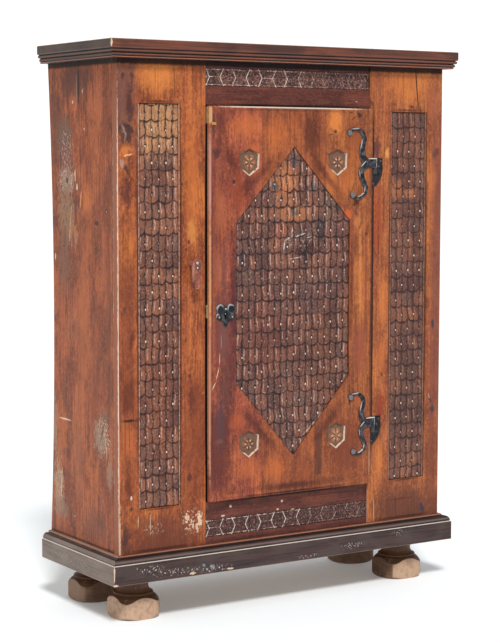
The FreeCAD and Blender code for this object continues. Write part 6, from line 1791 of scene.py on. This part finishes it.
@dataclass(frozen=True)
class Ironwork:
    """Hinges, nails, lock, plate and turn-button."""

    door_face: float = -224.5
    board_face: float = -206.5
    pin: float = 323.0
    levels: tuple[float, float] = (1388.0, 550.0)
    units: tuple[float, float] = (100.0, 90.0)      # size of the upper and the lower scroll
    button_face: float = -239.2
    leaf: float = 4.0                               # thickness of leaves and pintle plates
    plate: float = 2.5                              # thickness of the lock plate
    head: float = 2.2                               # height of a nail's head

    def gleams(self) -> tuple[Patch, ...]:
        """Light along the upper left arrises of the scrolls; places are in scroll units from pin and strap."""
        pink, white = paint(206, 184, 180), paint(232, 226, 222)
        lines = (((-0.97, 1.075), (-0.64, 1.11), 2.8, pink, 0.8), ((-0.525, 0.78), (-0.62, 0.42), 2.4, pink, 0.85),
                 ((-0.38, 0.08), (-0.60, -0.13), 2.0, white, 0.75), ((-0.655, -0.20), (-0.62, -0.46), 2.2, pink, 0.6),
                 ((-0.42, -0.74), (-0.45, -0.93), 2.4, pink, 0.85), ((-0.45, -0.94), (-0.71, -1.08), 2.8, white, 0.9))
        return tuple(
            streak((self.pin + x0 * unit, level + z0 * unit), (self.pin + x1 * unit, level + z1 * unit), half,
                   colour, show)
            for level, unit in zip(self.levels, self.units) for (x0, z0), (x1, z1), half, colour, show in lines)

    def nails(self, name: str, stand: float, bright: Colour, bright_show: float, seed: float, *nodes: str) -> None:
        """Nails whose heads stand on the depth stand, rubbed bright and with a painted highlight on top."""
        iron = ForgedIron(stand, self.head, seed=seed, bright=bright, bright_show=bright_show)
        dress(iron.material(name), *nodes)

    def dress(self) -> None:
        """Eases and dresses the iron, brass and the wooden button."""
        self._hinges()
        self._plate()
        self._nails()
        self._lock()
        self._button()

    def _hinges(self) -> None:
        """Leaves and pintles, with a painted highlight down each eye and a painted line of light along each strap."""
        # painted highlight down the knuckle of each eye, on leaves and pintles alike
        rubbed = tuple(strip(326.5, 330.5, z - 12, z + 24, paint(206, 216, 224), 0.9, 0.35, 0.4)
                       for z in self.levels)
        # painted highlight along the top edge of each strap
        straps = tuple(strip(self.pin - 32, self.pin + 7, z + 12.5, z + 17.0, paint(232, 214, 204), 0.95, 0.2, 0.3)
                       for z in self.levels)
        leaf = ForgedIron(self.door_face, self.leaf, blue=paint(58, 53, 62), bright_show=0.28, seed=3.0,
                          patches=rubbed + straps + self.gleams()).material("iron_leaves")
        for end in ("top", "bottom"):
            eased("hinge_leaf_" + end, "door", leaf, 1.5)
        fixed = ForgedIron(self.board_face, self.leaf, black=paint(22, 21, 23), blue=paint(44, 44, 50),
                           bright_show=0.08, patches=rubbed, seed=7.0).material("iron_pintles")
        for end in ("top", "bottom"):
            eased("pintle_" + end, "carcass", fixed, 0.8)

    def _plate(self) -> None:
        """The lock plate: each curl has a painted highlight, a light rim on its upper left, and the keyhole is black.
        """
        curl_glint, gloom = paint(178, 180, 180), paint(30, 31, 36)
        # painted highlights: a pale round under a dark one leaves a crescent of light on the upper left of each curl
        curls = (
            front(-264, 946, 15, 15, curl_glint, 0.95, 0.6, 0.4), front(-261, 941, 14, 14, gloom, 1.0, 0.5, 0.3),
            front(-225, 947, 14, 14, curl_glint, 0.95, 0.6, 0.4), front(-222, 942, 13, 13, gloom, 1.0, 0.5, 0.3),
            front(-273, 921, 8, 9, curl_glint, 0.8, 0.6, 0.3), front(-270, 918, 7, 8, gloom, 1.0, 0.4, 0.3),
            front(-243, 924, 11, 17, paint(15, 14, 16), 0.8, 0.3, 0.5))
        plate = ForgedIron(self.door_face, self.plate, patches=curls, seed=11.0, bright_show=0.3)
        eased("escutcheon", "door", plate.material("iron_plate"), 0.9)

    def _nails(self) -> None:
        """Heads of the nails, each kind on what it holds."""
        self.nails("iron_hinge_nails", self.door_face - self.leaf, paint(132, 130, 130), 0.5, 13.0, "hinge_nails")
        self.nails("iron_plate_nails", self.door_face - self.plate, paint(226, 222, 216), 0.9, 15.0,
                   "escutcheon_nails")
        self.nails("iron_pintle_nails", self.board_face - self.leaf, paint(110, 104, 100), 0.4, 17.0, "pintle_nails")

    def _lock(self) -> None:
        """Pivot of the button, the plain iron of the lock, its key pin and its brass forend."""
        # the heads of the pivot and the button's pin are painted near-white on top: a painted highlight on their
        # domes
        pivot = ForgedIron(self.button_face, proud=2.4, seed=19.0, bright=paint(232, 228, 222), bright_show=0.95)
        dress(pivot.material("iron_pivot"), "pivot_nail", "button_pin")
        plain = ForgedIron(face=-190.0, proud=40.0, seed=23.0, bright_show=0.1).material("iron_plain")
        dress(plain, "lock_case", "lock_bolt", "lock_keep", "batten_nails", "back_nails")
        pin = ForgedIron(face=-200.0, proud=10.0, seed=29.0, bright=paint(220, 214, 205), bright_show=0.9)
        dress(pin.material("iron_key_pin"), "key_pin")
        dress(DullBrass().material("brass_forend"), "lock_forend")

    def _button(self) -> None:
        """The turn-button and its spacer: red-brown wood, with a painted highlight along its left edge, and rubbed
        pale at its foot.
        """
        red = Timber(light=paint(186, 104, 84), body=paint(158, 78, 64), deep=paint(104, 52, 46), seed=111.0,
                     pith=-352.0, pith_depth=12.0, ring=3.0, middle=1050.0, rough=0.4, shine=0.5,
                     # painted highlight along the button's left edge, and a pale rubbed mark at its foot
                     patches=(strip(-366, -362.6, 1010, 1100, paint(226, 176, 150), 0.6, 0.4, 0.6),
                              front(-352, 1008, 12, 5, paint(210, 160, 136), 0.5, 0.5, 0.6)))
        button = red.material("timber_button")
        eased("turn_button", "button", button, 1.6, 3)
        dress(button, "button_spacer")


# -------------------------------------------------------------------------------------------------- light and camera
@dataclass(frozen=True)
class Studio:
    """A pale floor, soft daylight from the upper left, and the camera."""

    place: Triple = (-3.1334, -4.8571, 1.4073)
    azimuth: float = -32.75
    down: float = 5.26
    roll: float = 0.124
    lens: float = 100.17
    sensor: float = 36.0
    clip: float = 200.0
    floor: Colour = paint(246, 250, 252)
    floor_shade: Colour = paint(242, 247, 250)
    floor_glow: float = 0.13
    floor_level: float = -0.0005
    reach: float = 30.0
    seen_white: float = 1.1              # strength of the surroundings as the camera sees them
    cast_white: float = 0.5              # strength of the light that they cast
    sun_power: float = 2.35
    sun_spread: float = 11.0
    sun_colour: Triple = (1.0, 0.995, 0.985)
    sun_aim: Triple = (0.35, 0.75, -1.0)

    def build(self) -> None:
        """Makes the floor, the light and the camera."""
        self._floor()
        self._light()
        self._camera()

    def _floor(self) -> None:
        """A wide flat sheet, half a millimetre under the feet."""
        name, half, level = "studio_floor", self.reach, self.floor_level
        mesh = bpy.data.meshes.new(name)
        mesh.from_pydata([(-half, -half, level), (half, -half, level), (half, half, level), (-half, half, level)], [],
                         [(0, 1, 2, 3)])
        recipe = Recipe(name)
        faint = recipe.noise((0.0008, 0.0008, 0.0008), 1.0, 1.0)
        shade = recipe.mix(faint, self.floor, self.floor_shade)
        shader = recipe.node("BsdfPrincipled", {}, {"Base Color": shade, "Roughness": 0.8, "Emission Color": shade,
                                                    "Emission Strength": self.floor_glow, "Specular IOR Level": 0.1})
        recipe.node("OutputMaterial", {}, {"Surface": shader.outputs[0]})
        mesh.materials.append(recipe.material)
        floor = bpy.data.objects.new(name, mesh)
        bpy.context.scene.collection.objects.link(floor)

    def _light(self) -> None:
        """White surroundings and a wide soft sun."""
        scene = bpy.context.scene
        world = bpy.data.worlds.new("studio_white")
        scene.world = world
        world.use_nodes = True
        nodes, links = world.node_tree.nodes, world.node_tree.links
        nodes.clear()
        seen, lit = nodes.new("ShaderNodeBackground"), nodes.new("ShaderNodeBackground")
        seen.inputs["Color"].default_value = lit.inputs["Color"].default_value = (1.0, 1.0, 1.0, 1.0)
        seen.inputs["Strength"].default_value = self.seen_white
        lit.inputs["Strength"].default_value = self.cast_white
        path, share, out = (nodes.new("ShaderNode" + kind) for kind in ("LightPath", "MixShader", "OutputWorld"))
        links.new(path.outputs["Is Camera Ray"], share.inputs[0])
        links.new(lit.outputs[0], share.inputs[1])
        links.new(seen.outputs[0], share.inputs[2])
        links.new(share.outputs[0], out.inputs["Surface"])
        sun = bpy.data.lights.new("studio_sun", "SUN")
        sun.energy, sun.angle, sun.color = self.sun_power, math.radians(self.sun_spread), self.sun_colour
        lamp = bpy.data.objects.new("studio_sun", sun)
        lamp.rotation_euler = Vector(self.sun_aim).to_track_quat("-Z", "Y").to_euler()
        scene.collection.objects.link(lamp)
        scene.view_settings.view_transform = "Standard"

    def _camera(self) -> None:
        """A long lens at standing height, left of the cabinet."""
        turn, dip, roll = (math.radians(v) for v in (self.azimuth, self.down, self.roll))
        ahead = Vector((-math.sin(turn) * math.cos(dip), math.cos(turn) * math.cos(dip), -math.sin(dip)))
        right = Vector((math.cos(turn), math.sin(turn), 0.0))
        over = right.cross(ahead)
        side = right * math.cos(roll) + over * math.sin(roll)
        top = over * math.cos(roll) - right * math.sin(roll)
        data = bpy.data.cameras.new("studio_camera")
        data.lens, data.sensor_width, data.sensor_fit = self.lens, self.sensor, "AUTO"
        data.clip_end = self.clip
        camera = bpy.data.objects.new("studio_camera", data)
        matrix = Matrix((side, top, -ahead)).transposed().to_4x4()
        matrix.translation = Vector(self.place)
        camera.matrix_world = matrix
        bpy.context.scene.collection.objects.link(camera)
        bpy.context.scene.camera = camera


def main() -> None:
    """Builds every sub-assembly in order."""
    logging.basicConfig(level=logging.INFO, format="%(name)s %(message)s")
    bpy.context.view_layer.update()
    Studio().build()
    scale_wood = CarvedTimber(light=paint(146, 91, 69), body=paint(107, 64, 55), deep=paint(74, 46, 45),
                              hollow=paint(40, 29, 31), lip=paint(190, 158, 144), lip_show=0.85, seed=1.0)
    rim_wood = CarvedTimber(light=paint(176, 124, 90), body=paint(142, 94, 68), deep=paint(98, 62, 46),
                            hollow=paint(100, 58, 40), lip=paint(214, 186, 162), lip_show=0.85, grey_show=0.1,
                            seed=4.0)
    rosette_wood = CarvedTimber(light=paint(178, 116, 76), body=paint(142, 86, 56), deep=paint(98, 60, 46),
                                hollow=paint(52, 34, 30), lip=paint(214, 184, 158), grey_show=0.3, seed=5.0)
    frieze_wood = CarvedTimber(light=paint(138, 92, 80), body=paint(108, 68, 60), deep=paint(78, 48, 46),
                               hollow=paint(50, 34, 34), lip=paint(224, 208, 194), lip_show=1.0, grey_show=0.4,
                               seed=6.0, grain=Grain.LEVEL,
                               patches=(strip(-400, 400, 190, 345, paint(84, 50, 46), 0.75, 0.5, 0.5),))
    pegs = PegWood().material("peg_ends")
    boards, case, door = FrontBoards(), Case(), Door()
    boards.dress()
    boards.carve(scale_wood, pegs)
    case.dress_sides()
    case.dress_rails()
    case.carve(frieze_wood)
    case.dress_cornice()
    case.dress_plinth()
    case.dress_feet()
    case.dress_inside()
    door.dress()
    door.carve(scale_wood, rim_wood, rosette_wood, pegs)
    Ironwork().dress()
    bpy.context.view_layer.update()


if __name__ == "__main__":
    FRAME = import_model()
    main()
